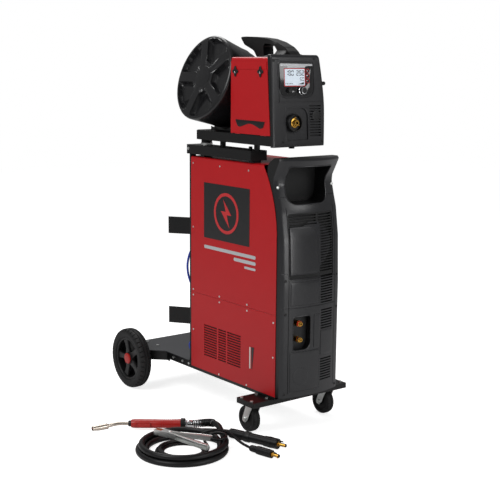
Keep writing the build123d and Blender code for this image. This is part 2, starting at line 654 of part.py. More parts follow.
def torch_handle():
    """The torch's handle with its collar and the sleeve that its cable leaves by."""
    grip = rod_x((0, 190), 0, 0, 18)
    grip = fillet(grip.edges().filter_by(GeomType.CIRCLE), 5)
    collar = rod_x((186, 204), 0, 0, 21)
    sleeve = rod_x((204, 232), 0, 0, 14)
    return lay_torch(grip + collar + sleeve - block((24, 76), (-27, -11), (-7, 7)))


def torch_trigger():
    """The trigger, which travels into the handle."""
    return lay_torch(block((26, 74), (-24, -15), (-6, 6)))


def torch_neck():
    """The bent neck and its gas nozzle."""
    neck_path = FilletPolyline((0, 0, 0), (-52, 0, 0), (-86, -20, -4), radius=[45])
    neck = sweep(Plane(origin=neck_path @ 0, z_dir=neck_path % 0) * Circle(7), path=neck_path)
    nozzle = rod_x((-62, 0), 0, -4, 11) - rod_x((-64, -20), 0, -4, 8)
    return lay_torch(neck + Pos(-84, -18.8, 0) * Rot(0, 0, 30.5) * nozzle)


def coil(centre, radii, height):
    """The outer shape of a coil on the floor: a ring with rounded edges."""
    solid = rod_z(*centre, (0, height), radii[1]) - rod_z(*centre, (-1, height + 1), radii[0])
    return fillet(solid.edges().filter_by(GeomType.CIRCLE), height / 3)


TORCH_TAIL = ((-343.7, -216.9, 22), (-327.5, -230, 24), (-314, -249, 29), (-307, -273, 35), (-305, -300, 39.5),
              (-308, -327, 39.5), (-317, -352, 37), (-334, -379, 34))
TORCH_LEAD = ((-384, -264, 11.2), (-355, -273, 11.2), (-330, -291, 11.5), (-310, -316, 13), (-296, -346, 17),
              (-287, -376, 20))
EARTH_TAIL = ((-437, -461, 53), (-427, -474, 51.5), (-405, -482, 51), (-381, -476, 51), (-365, -456, 51),
              (-363, -431, 51), (-378, -411, 51), (-399, -399, 43), (-421, -393, 27))
EARTH_LEAD = ((-440, -345, 17), (-425, -358, 29), (-408, -373, 45), (-388, -389, 54), (-366, -406, 54),
              (-345, -424, 52), (-330, -446, 40), (-323, -471, 25), (-319, -500, 17), (-315, -534, 15))


def torch_cable():
    """The torch cable's two stretches outside its coil."""
    return apart([tube(TORCH_TAIL, TORCH_CABLE_D, "torch tail"), tube(TORCH_LEAD, TORCH_CABLE_D, "torch lead")])


def earth_cable():
    """The earth cable's two stretches outside its coil."""
    return apart([tube(EARTH_TAIL, EARTH_CABLE_D, "earth tail"), tube(EARTH_LEAD, EARTH_CABLE_D, "earth lead")])


def torch_plug():
    """The torch's connector: a ribbed sleeve, its collar and two brass pins."""
    body = rod_x((0, 150), 0, 0, 17) + rod_x((150, 205), 0, 0, 19) + rod_x((166, 180), 0, 0, 19.6)
    pins = rod_x((205, 238), 0, 0, 6) + rod_x((205, 226), 0, 12, 2.5)
    return Pos(-287, -376, 20) * Rot(0, 0, -71.3) * (body + pins)


def earth_plug():
    """The earth lead's bayonet plug: a rubber body and a brass pin with its key."""
    body = rod_x((0, 30), 0, 0, 11) + rod_x((30, 95), 0, 0, 14.5)
    pin = rod_x((95, 126), 0, 0, 6) + block((104, 114), (-3, 3), (0, 9))
    return Pos(-315, -534, 15) * Rot(0, 0, -77.3) * (body + pin)


CLAMP_AT = (-524.0, -334.0)    # the clamp's pivot
CLAMP_TURN = -69.0             # degrees from +X to the line between the arms' handles
CLAMP_Z = (TORCH_COIL_H + GAP, TORCH_COIL_H + 18)
PIVOT_R = 9.0                  # of the ears and the tongue that hold the clamp's pin


def clamp_arm(side, reach):
    """One pressed arm on its own side of the pivot: its jaw, its waist and its channel handle."""
    low, high = CLAMP_Z
    outline = [(-62, 1), (-62, 12), (-28, 15), (4, 13), (34, 17), (reach - 38, 42), (reach, 47), (reach, 34),
               (reach - 38, 28), (34, 9), (9, 2.4), (-9, 1)]
    channel = [(38, 20), (reach - 36, 46), (reach - 2, 52), (reach - 2, 37), (reach - 38, 31), (38, 11.5)]
    arm = prism_z([(x, side * y) for x, y in outline], (low, high))
    return arm - prism_z([(x, side * y) for x, y in channel], (low + 2, high - 2))


def lay_clamp(piece):
    """Move a piece drawn about the clamp's pivot, handles along +X, to where the clamp lies."""
    return Pos(*CLAMP_AT, 0) * Rot(0, 0, CLAMP_TURN) * piece


def clamp_upper():
    """The clamp's fixed arm with the pivot pin between its ears."""
    low, high = CLAMP_Z
    ears = rod_z(0, 0, (low, low + 3), PIVOT_R) + rod_z(0, 0, (high - 3, high), PIVOT_R)
    arm = clamp_arm(1, 150) - rod_z(0, 0, (low + 3, high - 3), PIVOT_R + 1) + ears
    return lay_clamp(arm + rod_z(0, 0, (low, high + 1), 4))


def clamp_lower():
    """The clamp's free arm, whose tongue turns on the pin."""
    low, high = CLAMP_Z
    room = rod_z(0, 0, (low - 1, low + 3 + GAP), PIVOT_R + 1) + rod_z(0, 0, (high - 3 - GAP, high + 1), PIVOT_R + 1)
    tongue = rod_z(0, 0, (low + 3 + GAP, high - 3 - GAP), PIVOT_R - 0.5)
    return lay_clamp(clamp_arm(-1, 188) - room + tongue - rod_z(0, 0, (low - 1, high + 2), 4 + RUN))


def write_parts(nodes):
    """Write each node's solid to its STEP file."""
    os.makedirs("parts", exist_ok=True)
    for name, shape in nodes.items():
        export_step(shape, f"parts/{name}.step")


NODES = {
    "base_frame": base_frame(),
    "rear_platform": rear_platform(),
    "rear_axle": rear_axle(),
    "left_tyre": tyre(-1),
    "left_rim": rim(-1),
    "left_hub_cap": hub_cap(-1),
    "right_tyre": tyre(1),
    "right_rim": rim(1),
    "right_hub_cap": hub_cap(1),
    "caster_plates": caster_plates(),
    "left_caster_fork": caster_fork(-1),
    "left_caster_wheel": caster_wheel(-1),
    "right_caster_fork": caster_fork(1),
    "right_caster_wheel": caster_wheel(1),
    "fasteners": fasteners(),
    "cabinet_chassis": cabinet_chassis(),
    "top_cover": top_cover(),
    "left_cooler_panel": cooler_panel(-1),
    "right_cooler_panel": cooler_panel(1),
    "front_casing": front_casing(),
    "water_couplings": water_couplings(),
    "power_module": power_module(),
    "cooling_fan": cooling_fan(),
    "cooling_unit": cooling_unit(),
    "mains_switch": mains_switch(),
    "bottle_brackets": bottle_brackets(),
    "rear_leads": rear_leads(),
    "feeder_rail": feeder_rail(),
    "feeder_pivot": feeder_pivot(),
    "feeder_base": feeder_base(),
    "feeder_shell": feeder_shell(),
    "feeder_door": feeder_door(),
    "rear_latch": door_latch(-215),
    "front_latch": door_latch(-362),
    "feeder_bezel": feeder_bezel(),
    "display_panel": display_panel(),
    "upper_button": push_button(0),
    "middle_button": push_button(1),
    "lower_button": push_button(2),
    "encoder_knob": setting_knob(3, 16, 14),
    "mode_knob": setting_knob(4, 10, 10),
    "torch_socket": torch_socket(),
    "feeder_handle": feeder_handle(),
    "spool_housing": spool_housing(),
    "spool_cover": spool_cover(),
    "wire_spool": wire_spool(),
    "wire_drive": wire_drive(),
    "drive_roll": drive_roll(),
    "pressure_arm": pressure_arm(),
    "torch_handle": torch_handle(),
    "torch_trigger": torch_trigger(),
    "torch_neck": torch_neck(),
    "torch_cable": torch_cable(),
    "torch_coil": coil(TORCH_COIL, TORCH_COIL_R, TORCH_COIL_H),
    "torch_plug": torch_plug(),
    "clamp_upper": clamp_upper(),
    "clamp_lower": clamp_lower(),
    "earth_cable": earth_cable(),
    "earth_coil": coil(EARTH_COIL, EARTH_COIL_R, EARTH_COIL_H),
    "earth_plug": earth_plug(),
}

write_parts(NODES)
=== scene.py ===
"""Looks of a cart-mounted MIG welding machine, built around its fixed frame.

Every shape is drawn in millimetres in the machine's own frame (+Z up, front towards -Y) and becomes
metres when its object is made. Each sub-assembly is a class that builds its meshes and dresses them.
"""
import logging
import math
from dataclasses import dataclass, field
from enum import Enum
from typing import Callable, Optional, Sequence

import bmesh
import bpy
from mathutils import Matrix, Vector


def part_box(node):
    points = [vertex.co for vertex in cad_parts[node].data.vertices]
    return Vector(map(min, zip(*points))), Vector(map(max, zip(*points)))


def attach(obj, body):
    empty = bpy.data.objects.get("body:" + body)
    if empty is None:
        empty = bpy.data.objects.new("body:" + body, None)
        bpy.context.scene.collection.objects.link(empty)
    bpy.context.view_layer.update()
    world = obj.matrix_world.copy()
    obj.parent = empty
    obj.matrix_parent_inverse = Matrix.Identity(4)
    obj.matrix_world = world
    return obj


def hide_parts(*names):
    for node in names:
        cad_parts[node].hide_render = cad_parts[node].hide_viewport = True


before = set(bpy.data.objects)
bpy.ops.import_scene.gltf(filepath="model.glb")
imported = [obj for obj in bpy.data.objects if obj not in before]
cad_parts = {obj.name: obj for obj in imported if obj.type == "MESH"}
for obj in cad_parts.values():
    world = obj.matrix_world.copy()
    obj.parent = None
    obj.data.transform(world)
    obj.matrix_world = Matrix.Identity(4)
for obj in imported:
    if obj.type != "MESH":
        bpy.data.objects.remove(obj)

log = logging.getLogger("scene")
MM = 0.001
Point = tuple[float, float, float]
Outline = list[tuple[float, float]]


# ------------------------------------------------------------------ finishes
class Pattern(Enum):
    """How a surface was made, which sets the texture that its finish draws."""

    PEEL = "sprayed paint, softly pebbled"
    GRAIN = "moulded plastic, spark-eroded grain"
    BRUSHED = "drawn or brushed metal, streaked along one axis"
    SPANGLE = "hot-dip zinc, broken into crystals"
    WOUND = "wire wound in close turns"
    PLAIN = "polished or printed, almost smooth"


@dataclass(frozen=True)
class Finish:
    """One real material and how its surface was made.

    Attributes:
        name: the material's name.
        colour: its sRGB hex value.
        rough: its mean roughness.
        pattern: how the surface was made.
        metal: its metallic share.
        ior: its index of refraction, which a metal leaves alone.
        coat: the weight of a clear coat.
        size_mm: the real size of one grain, streak or pebble.
        relief_mm: how high the pattern stands.
        mottle: the share by which its colour drifts.
        glow: the strength of its own light.
    """

    name: str
    colour: str
    rough: float
    pattern: Pattern = Pattern.GRAIN
    metal: float = 0.0
    ior: float = 1.5
    coat: float = 0.0
    size_mm: float = 1.0
    relief_mm: float = 0.05
    mottle: float = 0.12
    glow: float = 0.0


# shared by every finish: the coat's roughness, how far the pattern sways the gloss, the
# scale per metre of the slow change of shade, and how strongly the relief shows
COAT_ROUGHNESS = 0.08
GLOSS_SWAY = 0.06
SHADE_SCALE = 14.0
RELIEF_STRENGTH = 0.6
WHITE = (1.0, 1.0, 1.0, 1.0)


def linear(code: str) -> tuple[float, float, float, float]:
    """Turn an sRGB hex value to linear light.

    Args:
        code: six hex digits.

    Returns:
        Red, green, blue and an alpha of one.
    """
    parts = [int(code[k:k + 2], 16) / 255 for k in (0, 2, 4)]
    light = [c / 12.92 if c <= 0.04045 else ((c + 0.055) / 1.055) ** 2.4 for c in parts]
    return (*light, 1.0)


def add_node(tree: bpy.types.NodeTree, kind: str, values: Optional[dict] = None,
             links: Optional[dict] = None, **settings: object) -> bpy.types.Node:
    """Add one shader node.

    Args:
        tree: the material's node tree.
        kind: the node's type name.
        values: input names or numbers with their values.
        links: input names or numbers with the output sockets that feed them.
        settings: the node's own properties.

    Returns:
        The new node.
    """
    node = tree.nodes.new(kind)
    for key, value in settings.items():
        setattr(node, key, value)
    for key, value in (values or {}).items():
        node.inputs[key].default_value = value
    for key, socket in (links or {}).items():
        tree.links.new(socket, node.inputs[key])
    return node


class PaintShop:
    """Makes each finish's material once and hands it out."""

    def __init__(self) -> None:
        """Start with no material made."""
        self.made: dict[str, bpy.types.Material] = {}

    def material(self, finish: Finish) -> bpy.types.Material:
        """The material of a finish, made on first use.

        Args:
            finish: the real material and surface.

        Returns:
            The Blender material.
        """
        if finish.name not in self.made:
            self.made[finish.name] = self._make(finish)
        return self.made[finish.name]

    def _texture(self, tree: bpy.types.NodeTree, finish: Finish,
                 where: bpy.types.NodeSocket) -> bpy.types.NodeSocket:
        """The height pattern of a finish.

        Args:
            tree: the material's node tree.
            finish: the real material and surface.
            where: the coordinates, in metres.

        Returns:
            A socket from 0 to 1.
        """
        scale = 1.0 / (finish.size_mm * MM)
        if finish.pattern is Pattern.BRUSHED:
            streaks = add_node(tree, "ShaderNodeMapping", {"Scale": (1.0, 1.0, 0.06)}, {"Vector": where})
            return add_node(tree, "ShaderNodeTexNoise", {"Scale": scale, "Detail": 2.0},
                            {"Vector": streaks.outputs[0]}).outputs["Fac"]
        if finish.pattern is Pattern.SPANGLE:
            return add_node(tree, "ShaderNodeTexVoronoi", {"Scale": scale}, {"Vector": where}).outputs["Distance"]
        if finish.pattern is Pattern.WOUND:
            turned = add_node(tree, "ShaderNodeMapping", {"Rotation": (0.0, math.radians(18), 0.0)},
                              {"Vector": where})
            return add_node(tree, "ShaderNodeTexWave", {"Scale": scale / 6.3, "Distortion": 0.4, "Detail": 1.0},
                            {"Vector": turned.outputs[0]}, bands_direction="X").outputs["Fac"]
        return add_node(tree, "ShaderNodeTexNoise", {"Scale": scale, "Detail": 3.0, "Roughness": 0.6},
                        {"Vector": where}).outputs["Fac"]

    def _make(self, finish: Finish) -> bpy.types.Material:
        """Build the node tree of a finish.

        Args:
            finish: the real material and surface.

        Returns:
            The new material.
        """
        material = bpy.data.materials.new(finish.name)
        material.use_nodes = True
        tree = material.node_tree
        shader = tree.nodes["Principled BSDF"]
        shader.inputs["Metallic"].default_value = finish.metal
        if finish.metal < 0.5:
            shader.inputs["IOR"].default_value = finish.ior
        shader.inputs["Coat Weight"].default_value = finish.coat
        shader.inputs["Coat Roughness"].default_value = COAT_ROUGHNESS
        where = add_node(tree, "ShaderNodeTexCoord").outputs["Object"]
        # handling and dust give every surface a slow change of shade over a hand's breadth
        slow = add_node(tree, "ShaderNodeTexNoise", {"Scale": SHADE_SCALE, "Detail": 4.0}, {"Vector": where})
        base = linear(finish.colour)
        dark = tuple(c * (1 - finish.mottle) for c in base[:3]) + (1.0,)
        light = tuple(min(1.0, c * (1 + finish.mottle)) for c in base[:3]) + (1.0,)
        # inputs 6 and 7 and output 2 are the mix node's colour sockets
        shade = add_node(tree, "ShaderNodeMix", {6: dark, 7: light}, {0: slow.outputs["Fac"]}, data_type="RGBA")
        tree.links.new(shade.outputs[2], shader.inputs["Base Color"])
        fine = self._texture(tree, finish, where)
        # the fine pattern breaks up the gloss as well as the height
        rough = add_node(tree, "ShaderNodeMapRange",
                         {"To Min": max(0.03, finish.rough - GLOSS_SWAY),
                          "To Max": min(1.0, finish.rough + GLOSS_SWAY)}, {"Value": fine})
        tree.links.new(rough.outputs[0], shader.inputs["Roughness"])
        bump = add_node(tree, "ShaderNodeBump",
                        {"Strength": RELIEF_STRENGTH, "Distance": finish.relief_mm * MM}, {"Height": fine})
        tree.links.new(bump.outputs[0], shader.inputs["Normal"])
        if finish.glow:
            shader.inputs["Emission Color"].default_value = base
            shader.inputs["Emission Strength"].default_value = finish.glow
        return material


# The real pebble, grain and brushing are mostly a tenth of a millimetre or finer, and would not
# show from a few metres away, so size_mm draws them several times coarser. Spangle is life-size.

# gloss acrylic enamel sprayed on steel sheet: clear reflections, softly pebbled
RED_ENAMEL = Finish("red_enamel_on_sheet", "B61118", 0.40, Pattern.PEEL, ior=1.36, coat=0.05, size_mm=2.5,
                    relief_mm=0.02, mottle=0.04)
# polyester powder baked on folded steel: satin black, faint orange peel
BLACK_POWDER = Finish("black_powder_coat", "0A0A0B", 0.42, Pattern.PEEL, ior=1.4, size_mm=1.8,
                      relief_mm=0.05, mottle=0.15)
# the same powder, rubbed dull where a bottle stands
GREY_POWDER = Finish("worn_grey_powder_coat", "36373A", 0.48, Pattern.PEEL, size_mm=1.8, relief_mm=0.06, mottle=0.12)
# ABS moulded in a spark-eroded tool: dark grey with a soft, wide sheen
GREY_ABS = Finish("dark_grey_moulded_abs", "1D1D20", 0.30, Pattern.GRAIN, ior=1.53, size_mm=0.9, relief_mm=0.04,
                  mottle=0.06)
# the same ABS moulded in a polished tool: nearly black, glossier
DRUM_ABS = Finish("charcoal_moulded_abs", "141416", 0.28, Pattern.GRAIN, ior=1.5, size_mm=1.4, relief_mm=0.02,
                  mottle=0.08)
# glass-filled nylon: black and dry
BLACK_NYLON = Finish("black_moulded_nylon", "0C0C0D", 0.44, Pattern.GRAIN, ior=1.45, size_mm=0.8,
                     relief_mm=0.05, mottle=0.2)
# cured rubber of the treads: dull, greyed by dust
TREAD_RUBBER = Finish("cured_tread_rubber", "0F0F10", 0.62, Pattern.GRAIN, ior=1.45, size_mm=1.6,
                      relief_mm=0.12, mottle=0.25)
# synthetic rubber sheath of the cables: black with a soft sheen
CABLE_RUBBER = Finish("cable_sheath_rubber", "08080A", 0.42, Pattern.GRAIN, ior=1.4, size_mm=1.2, relief_mm=0.04,
                      mottle=0.15)
# polypropylene of the hub caps and the torch's grip: saturated red, soft highlights
RED_POLY = Finish("red_moulded_polypropylene", "AE1A14", 0.36, Pattern.GRAIN, ior=1.49, size_mm=1.0,
                  relief_mm=0.03, mottle=0.05)
# bright zinc electroplate on pressings and bolts: pale, a little streaked
ZINC_PLATE = Finish("bright_zinc_plate", "E0E2E0", 0.34, Pattern.PLAIN, metal=0.9, size_mm=6.0, relief_mm=0.004,
                    mottle=0.1)
# hot-dip galvanised sheet: dull grey crystals
GALVANISED = Finish("hot_dip_galvanised_sheet", "A9ADAE", 0.42, Pattern.SPANGLE, metal=1.0, size_mm=9.0,
                    relief_mm=0.02, mottle=0.15)
# free-cutting brass, turned: yellow with fine turning marks
BRASS = Finish("turned_brass", "C99A45", 0.24, Pattern.BRUSHED, metal=1.0, size_mm=2.0, relief_mm=0.004, mottle=0.1)
# nickel-plated brass of the neck, browned by heat
NECK_NICKEL = Finish("heat_stained_nickel", "C6BCB0", 0.22, Pattern.BRUSHED, metal=1.0, size_mm=3.0,
                     relief_mm=0.004, mottle=0.25)
# copper braid and pads in the clamp's jaws
COPPER = Finish("clamp_copper", "C8632A", 0.32, Pattern.BRUSHED, metal=1.0, size_mm=0.6, relief_mm=0.04,
                mottle=0.2)
# extruded aluminium: pale and satin
ALUMINIUM = Finish("extruded_aluminium", "CACBCD", 0.34, Pattern.BRUSHED, metal=1.0, size_mm=2.5, relief_mm=0.006)
# polished chrome buttons and trim: mirror-like
CHROME = Finish("polished_chrome", "E2E3E5", 0.09, Pattern.PLAIN, metal=1.0, size_mm=3.0, relief_mm=0.002,
                mottle=0.03)
# steel welding wire wound in layers: copper-washed, ribbed turn by turn
SPOOL_WIRE = Finish("copper_washed_wire", "B98A5E", 0.30, Pattern.WOUND, metal=1.0, size_mm=1.6, relief_mm=0.4,
                    mottle=0.12)
# polycarbonate front film over black ink: glassy
PANEL_FILM = Finish("black_panel_film", "101012", 0.14, Pattern.PLAIN, ior=1.58, coat=0.3, size_mm=4.0,
                    relief_mm=0.002, mottle=0.05)
# backlit liquid crystal glass: pale blue and faintly lit
LCD_GLASS = Finish("backlit_lcd_glass", "DDE9F4", 0.12, Pattern.PLAIN, size_mm=2.0, relief_mm=0.002, mottle=0.03,
                   glow=0.25)
# inks printed on film and sheet: flat and even
BLACK_INK = Finish("black_vinyl", "121113", 0.38, Pattern.PLAIN, size_mm=1.5, relief_mm=0.01, mottle=0.05)
RED_INK = Finish("red_ink", "C4282C", 0.35, Pattern.PLAIN, size_mm=1.5, relief_mm=0.01, mottle=0.04)
SILVER_INK = Finish("silver_ink", "C9CBCE", 0.30, Pattern.PLAIN, metal=0.4, size_mm=1.0, relief_mm=0.005,
                    mottle=0.04)
# polyethylene of the coolant tank, seen through the level slot
TANK_POLY = Finish("milky_polyethylene", "D8DAD3", 0.40, Pattern.GRAIN, size_mm=1.0, relief_mm=0.02, mottle=0.06)
# blue polyurethane coolant hose
BLUE_HOSE = Finish("blue_polyurethane_hose", "2A3FA8", 0.30, Pattern.PLAIN, size_mm=2.0, relief_mm=0.01)

SHOP = PaintShop()


# ------------------------------------------------------------------ mesh tools
def turn_z(degrees: float) -> Matrix:
    """A rotation about +Z."""
    return Matrix.Rotation(math.radians(degrees), 4, "Z")


def turn_y(degrees: float) -> Matrix:
    """A rotation about +Y."""
    return Matrix.Rotation(math.radians(degrees), 4, "Y")


def left_side(x: float) -> Matrix:
    """A placement that carries y, z outlines onto the left side at an x, +Z outward."""
    return Matrix(((0, 0, -1, x), (1, 0, 0, 0), (0, 1, 0, 0), (0, 0, 0, 1)))


def along(start: Sequence[float], end: Sequence[float]) -> Matrix:
    """A placement whose +Z runs from one point to another, its origin at the first.

    Args:
        start: the first point, in millimetres.
        end: the second point, in millimetres.

    Returns:
        The placement.
    """
    way = Vector(end) - Vector(start)
    return Matrix.Translation(start) @ way.to_track_quat("Z", "Y").to_matrix().to_4x4()


def rounded(points: Outline, radii: Sequence[float], steps: int = 8) -> Outline:
    """An outline with an arc at each corner.

    Args:
        points: the corners in order.
        radii: each corner's radius, 0 to keep it sharp.
        steps: the pieces of each arc.

    Returns:
        The rounded outline.
    """
    result: Outline = []
    for k, corner in enumerate(points):
        here = Vector(corner)
        back = Vector(points[k - 1]) - here
        ahead = Vector(points[(k + 1) % len(points)]) - here
        if radii[k] <= 0:
            result.append(tuple(here))
            continue
        half = back.angle(ahead) / 2
        run = min(radii[k] / math.tan(half), back.length * 0.49, ahead.length * 0.49)
        start, end = here + back.normalized() * run, here + ahead.normalized() * run
        for step in range(steps + 1):
            t = step / steps
            result.append(tuple(start * (1 - t) ** 2 + here * (2 * t * (1 - t)) + end * t ** 2))
    return result


def oval(half_w: float, half_h: float, steps: int = 48,
         centre: tuple[float, float] = (0.0, 0.0)) -> Outline:
    """An ellipse as an outline."""
    return [(centre[0] + half_w * math.cos(2 * math.pi * k / steps),
             centre[1] + half_h * math.sin(2 * math.pi * k / steps)) for k in range(steps)]


def hexagon(radius: float) -> Outline:
    """The softened outline of a hexagon head."""
    return rounded(oval(radius, radius, 6), [0.8] * 6, 2)


def dense(outline: Outline, step: float = 6.0) -> Outline:
    """Split an outline's long edges, so that it can follow a bowed surface.

    Args:
        outline: the points in order.
        step: about the longest edge that stays whole.

    Returns:
        The finer outline.
    """
    result: Outline = []
    for k, a in enumerate(outline):
        b = outline[(k + 1) % len(outline)]
        count = max(1, int(math.dist(a, b) / step))
        result += [(a[0] + (b[0] - a[0]) * n / count, a[1] + (b[1] - a[1]) * n / count)
                   for n in range(count)]
    return result


class Draft:
    """A mesh being drawn in millimetres."""

    def __init__(self) -> None:
        """Start empty."""
        self.bm = bmesh.new()

    def loft(self, rings: Sequence[Sequence[Sequence[float]]], place: Matrix = Matrix(), loop: bool = True,
             caps: bool = True, around: bool = False) -> "Draft":
        """Skin a row of rings of points.

        Args:
            rings: the rings, each with as many points.
            place: where the whole goes.
            loop: whether each ring closes on itself.
            caps: whether the first and last rings are filled.
            around: whether the last ring joins the first.

        Returns:
            This draft.
        """
        rows = [[self.bm.verts.new(place @ Vector(p)) for p in ring] for ring in rings]
        count = len(rows[0])
        pairs = list(zip(rows, rows[1:])) + ([(rows[-1], rows[0])] if around else [])
        for low, high in pairs:
            for k in range(count if loop else count - 1):
                n = (k + 1) % count
                self.bm.faces.new((low[k], low[n], high[n], high[k]))
        if caps and not around:
            self.bm.faces.new(list(reversed(rows[0])))
            self.bm.faces.new(rows[-1])
        return self

    def prism(self, outline: Outline, z: tuple[float, float], place: Matrix = Matrix()) -> "Draft":
        """Carry an outline of local x, y points between two local z values."""
        return self.loft([[(x, y, h) for x, y in outline] for h in z], place)

    def block(self, x: tuple[float, float], y: tuple[float, float], z: tuple[float, float],
              place: Matrix = Matrix()) -> "Draft":
        """A box between two x, two y and two z values."""
        return self.prism([(x[0], y[0]), (x[1], y[0]), (x[1], y[1]), (x[0], y[1])], z, place)

    def ribs(self, count: int, x: tuple[float, float], y: tuple[float, float], z: tuple[float, float],
             place: Matrix) -> "Draft":
        """Set equal blocks round the local z axis.

        Args:
            count: how many.
            x: their inner and outer reach.
            y: their sides.
            z: their foot and top.
            place: where the whole goes.

        Returns:
            This draft.
        """
        for k in range(count):
            self.block(x, y, z, place @ turn_z(360 / count * k))
        return self

    def turned(self, profile: Outline, place: Matrix = Matrix(), sides: int = 64,
               closed: bool = False) -> "Draft":
        """Turn a profile of radius, height points about the local z axis.

        Args:
            profile: the points, whose ends get caps unless the profile is closed.
            place: where the piece goes.
            sides: the steps round the axis.
            closed: whether the profile closes on itself, as for a ring.

        Returns:
            This draft.
        """
        # a point on the axis keeps a hair's width, so that its ring has faces
        rings = [[(max(r, 0.01) * math.cos(2 * math.pi * k / sides),
                   max(r, 0.01) * math.sin(2 * math.pi * k / sides), h) for k in range(sides)]
                 for r, h in profile]
        return self.loft(rings, place, caps=not closed, around=closed)

    def sweep(self, path: Sequence[Sequence[float]], radius: float, sides: int = 12,
              closed: bool = False) -> "Draft":
        """Run a round section along a path.

        Args:
            path: the points of the centre line.
            radius: the section's radius.
            sides: the section's sides.
            closed: whether the path closes on itself.

        Returns:
            This draft.
        """
        points = [Vector(p) for p in path]
        rings, up = [], None
        for k, here in enumerate(points):
            before = points[k - 1] if k or closed else here
            after = points[(k + 1) % len(points)] if k + 1 < len(points) or closed else here
            way = (after - before).normalized()
            side = way.orthogonal() if up is None else up - way * up.dot(way)
            up = side.normalized()
            other = way.cross(up)
            rings.append([tuple(here + (up * math.cos(a) + other * math.sin(a)) * radius)
                          for a in (2 * math.pi * n / sides for n in range(sides))])
        return self.loft(rings, around=closed, caps=not closed)

    def object(self, name: str) -> bpy.types.Object:
        """Make the Blender object, in metres, with its normals outward.

        Args:
            name: the object's name.

        Returns:
            The object; the draft is used up.
        """
        bmesh.ops.recalc_face_normals(self.bm, faces=self.bm.faces)
        bmesh.ops.scale(self.bm, vec=(MM, MM, MM), verts=self.bm.verts)
        mesh = bpy.data.meshes.new(name)
        self.bm.to_mesh(mesh)
        self.bm.free()
        piece = bpy.data.objects.new(name, mesh)
        bpy.context.scene.collection.objects.link(piece)
        return piece


def settle(piece: bpy.types.Object) -> None:
    """Apply a piece's modifiers to its mesh.

    Args:
        piece: the piece.
    """
    bpy.context.view_layer.update()
    graph = bpy.context.evaluated_depsgraph_get()
    mesh = bpy.data.meshes.new_from_object(piece.evaluated_get(graph))
    piece.modifiers.clear()
    piece.data = mesh


def soften(piece: bpy.types.Object, width_mm: float, segments: int = 3, angle: float = 35.0) -> None:
    """Round the sharp edges of a piece.

    Args:
        piece: the piece.
        width_mm: how far the rounding reaches.
        segments: the facets across it.
        angle: edges sharper than this many degrees are rounded.
    """
    bevel = piece.modifiers.new("soften", "BEVEL")
    bevel.width, bevel.segments = width_mm * MM, segments
    bevel.limit_method, bevel.angle_limit = "ANGLE", math.radians(angle)
    bevel.use_clamp_overlap = True
    settle(piece)


def carve(piece: bpy.types.Object, cutter: Draft) -> None:
    """Cut a draft's volume out of a piece.

    Args:
        piece: the piece.
        cutter: the volume to take away.
    """
    tool = cutter.object("cutter")
    cut = piece.modifiers.new("carve", "BOOLEAN")
    cut.operation, cut.solver, cut.object = "DIFFERENCE", "EXACT", tool
    cut.use_self = True
    settle(piece)
    bpy.data.objects.remove(tool)


def dress(piece: bpy.types.Object, body: str, finish: Finish, replaces: Sequence[str] = (),
          sharp: float = 32.0) -> bpy.types.Object:
    """Shade a piece, give it its finish and set it on its body.

    Args:
        piece: the piece.
        body: the moving body that it rides on.
        finish: its finish.
        replaces: the frame's nodes that it stands for.
        sharp: edges sharper than this many degrees stay crisp.

    Returns:
        The piece.
    """
    if piece.type == "MESH":
        bm = bmesh.new()
        bm.from_mesh(piece.data)
        for face in bm.faces:
            face.smooth = True
        for edge in bm.edges:
            edge.smooth = len(edge.link_faces) == 2 and edge.calc_face_angle(4.0) < math.radians(sharp)
        bm.to_mesh(piece.data)
        bm.free()
    piece.data.materials.clear()
    piece.data.materials.append(SHOP.material(finish))
    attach(piece, body)
    if replaces:
        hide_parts(*replaces)
    log.info("%s on %s in %s", piece.name, body, finish.name)
    return piece


def dress_nodes(nodes: dict[str, Finish]) -> None:
    """Give frame nodes whose shape stays a better finish.

    Args:
        nodes: each node's name and finish.
    """
    for name, finish in nodes.items():
        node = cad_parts[name]
        node.data.materials.clear()
        node.data.materials.append(SHOP.material(finish))
        log.info("%s keeps its shape in %s", name, finish.name)


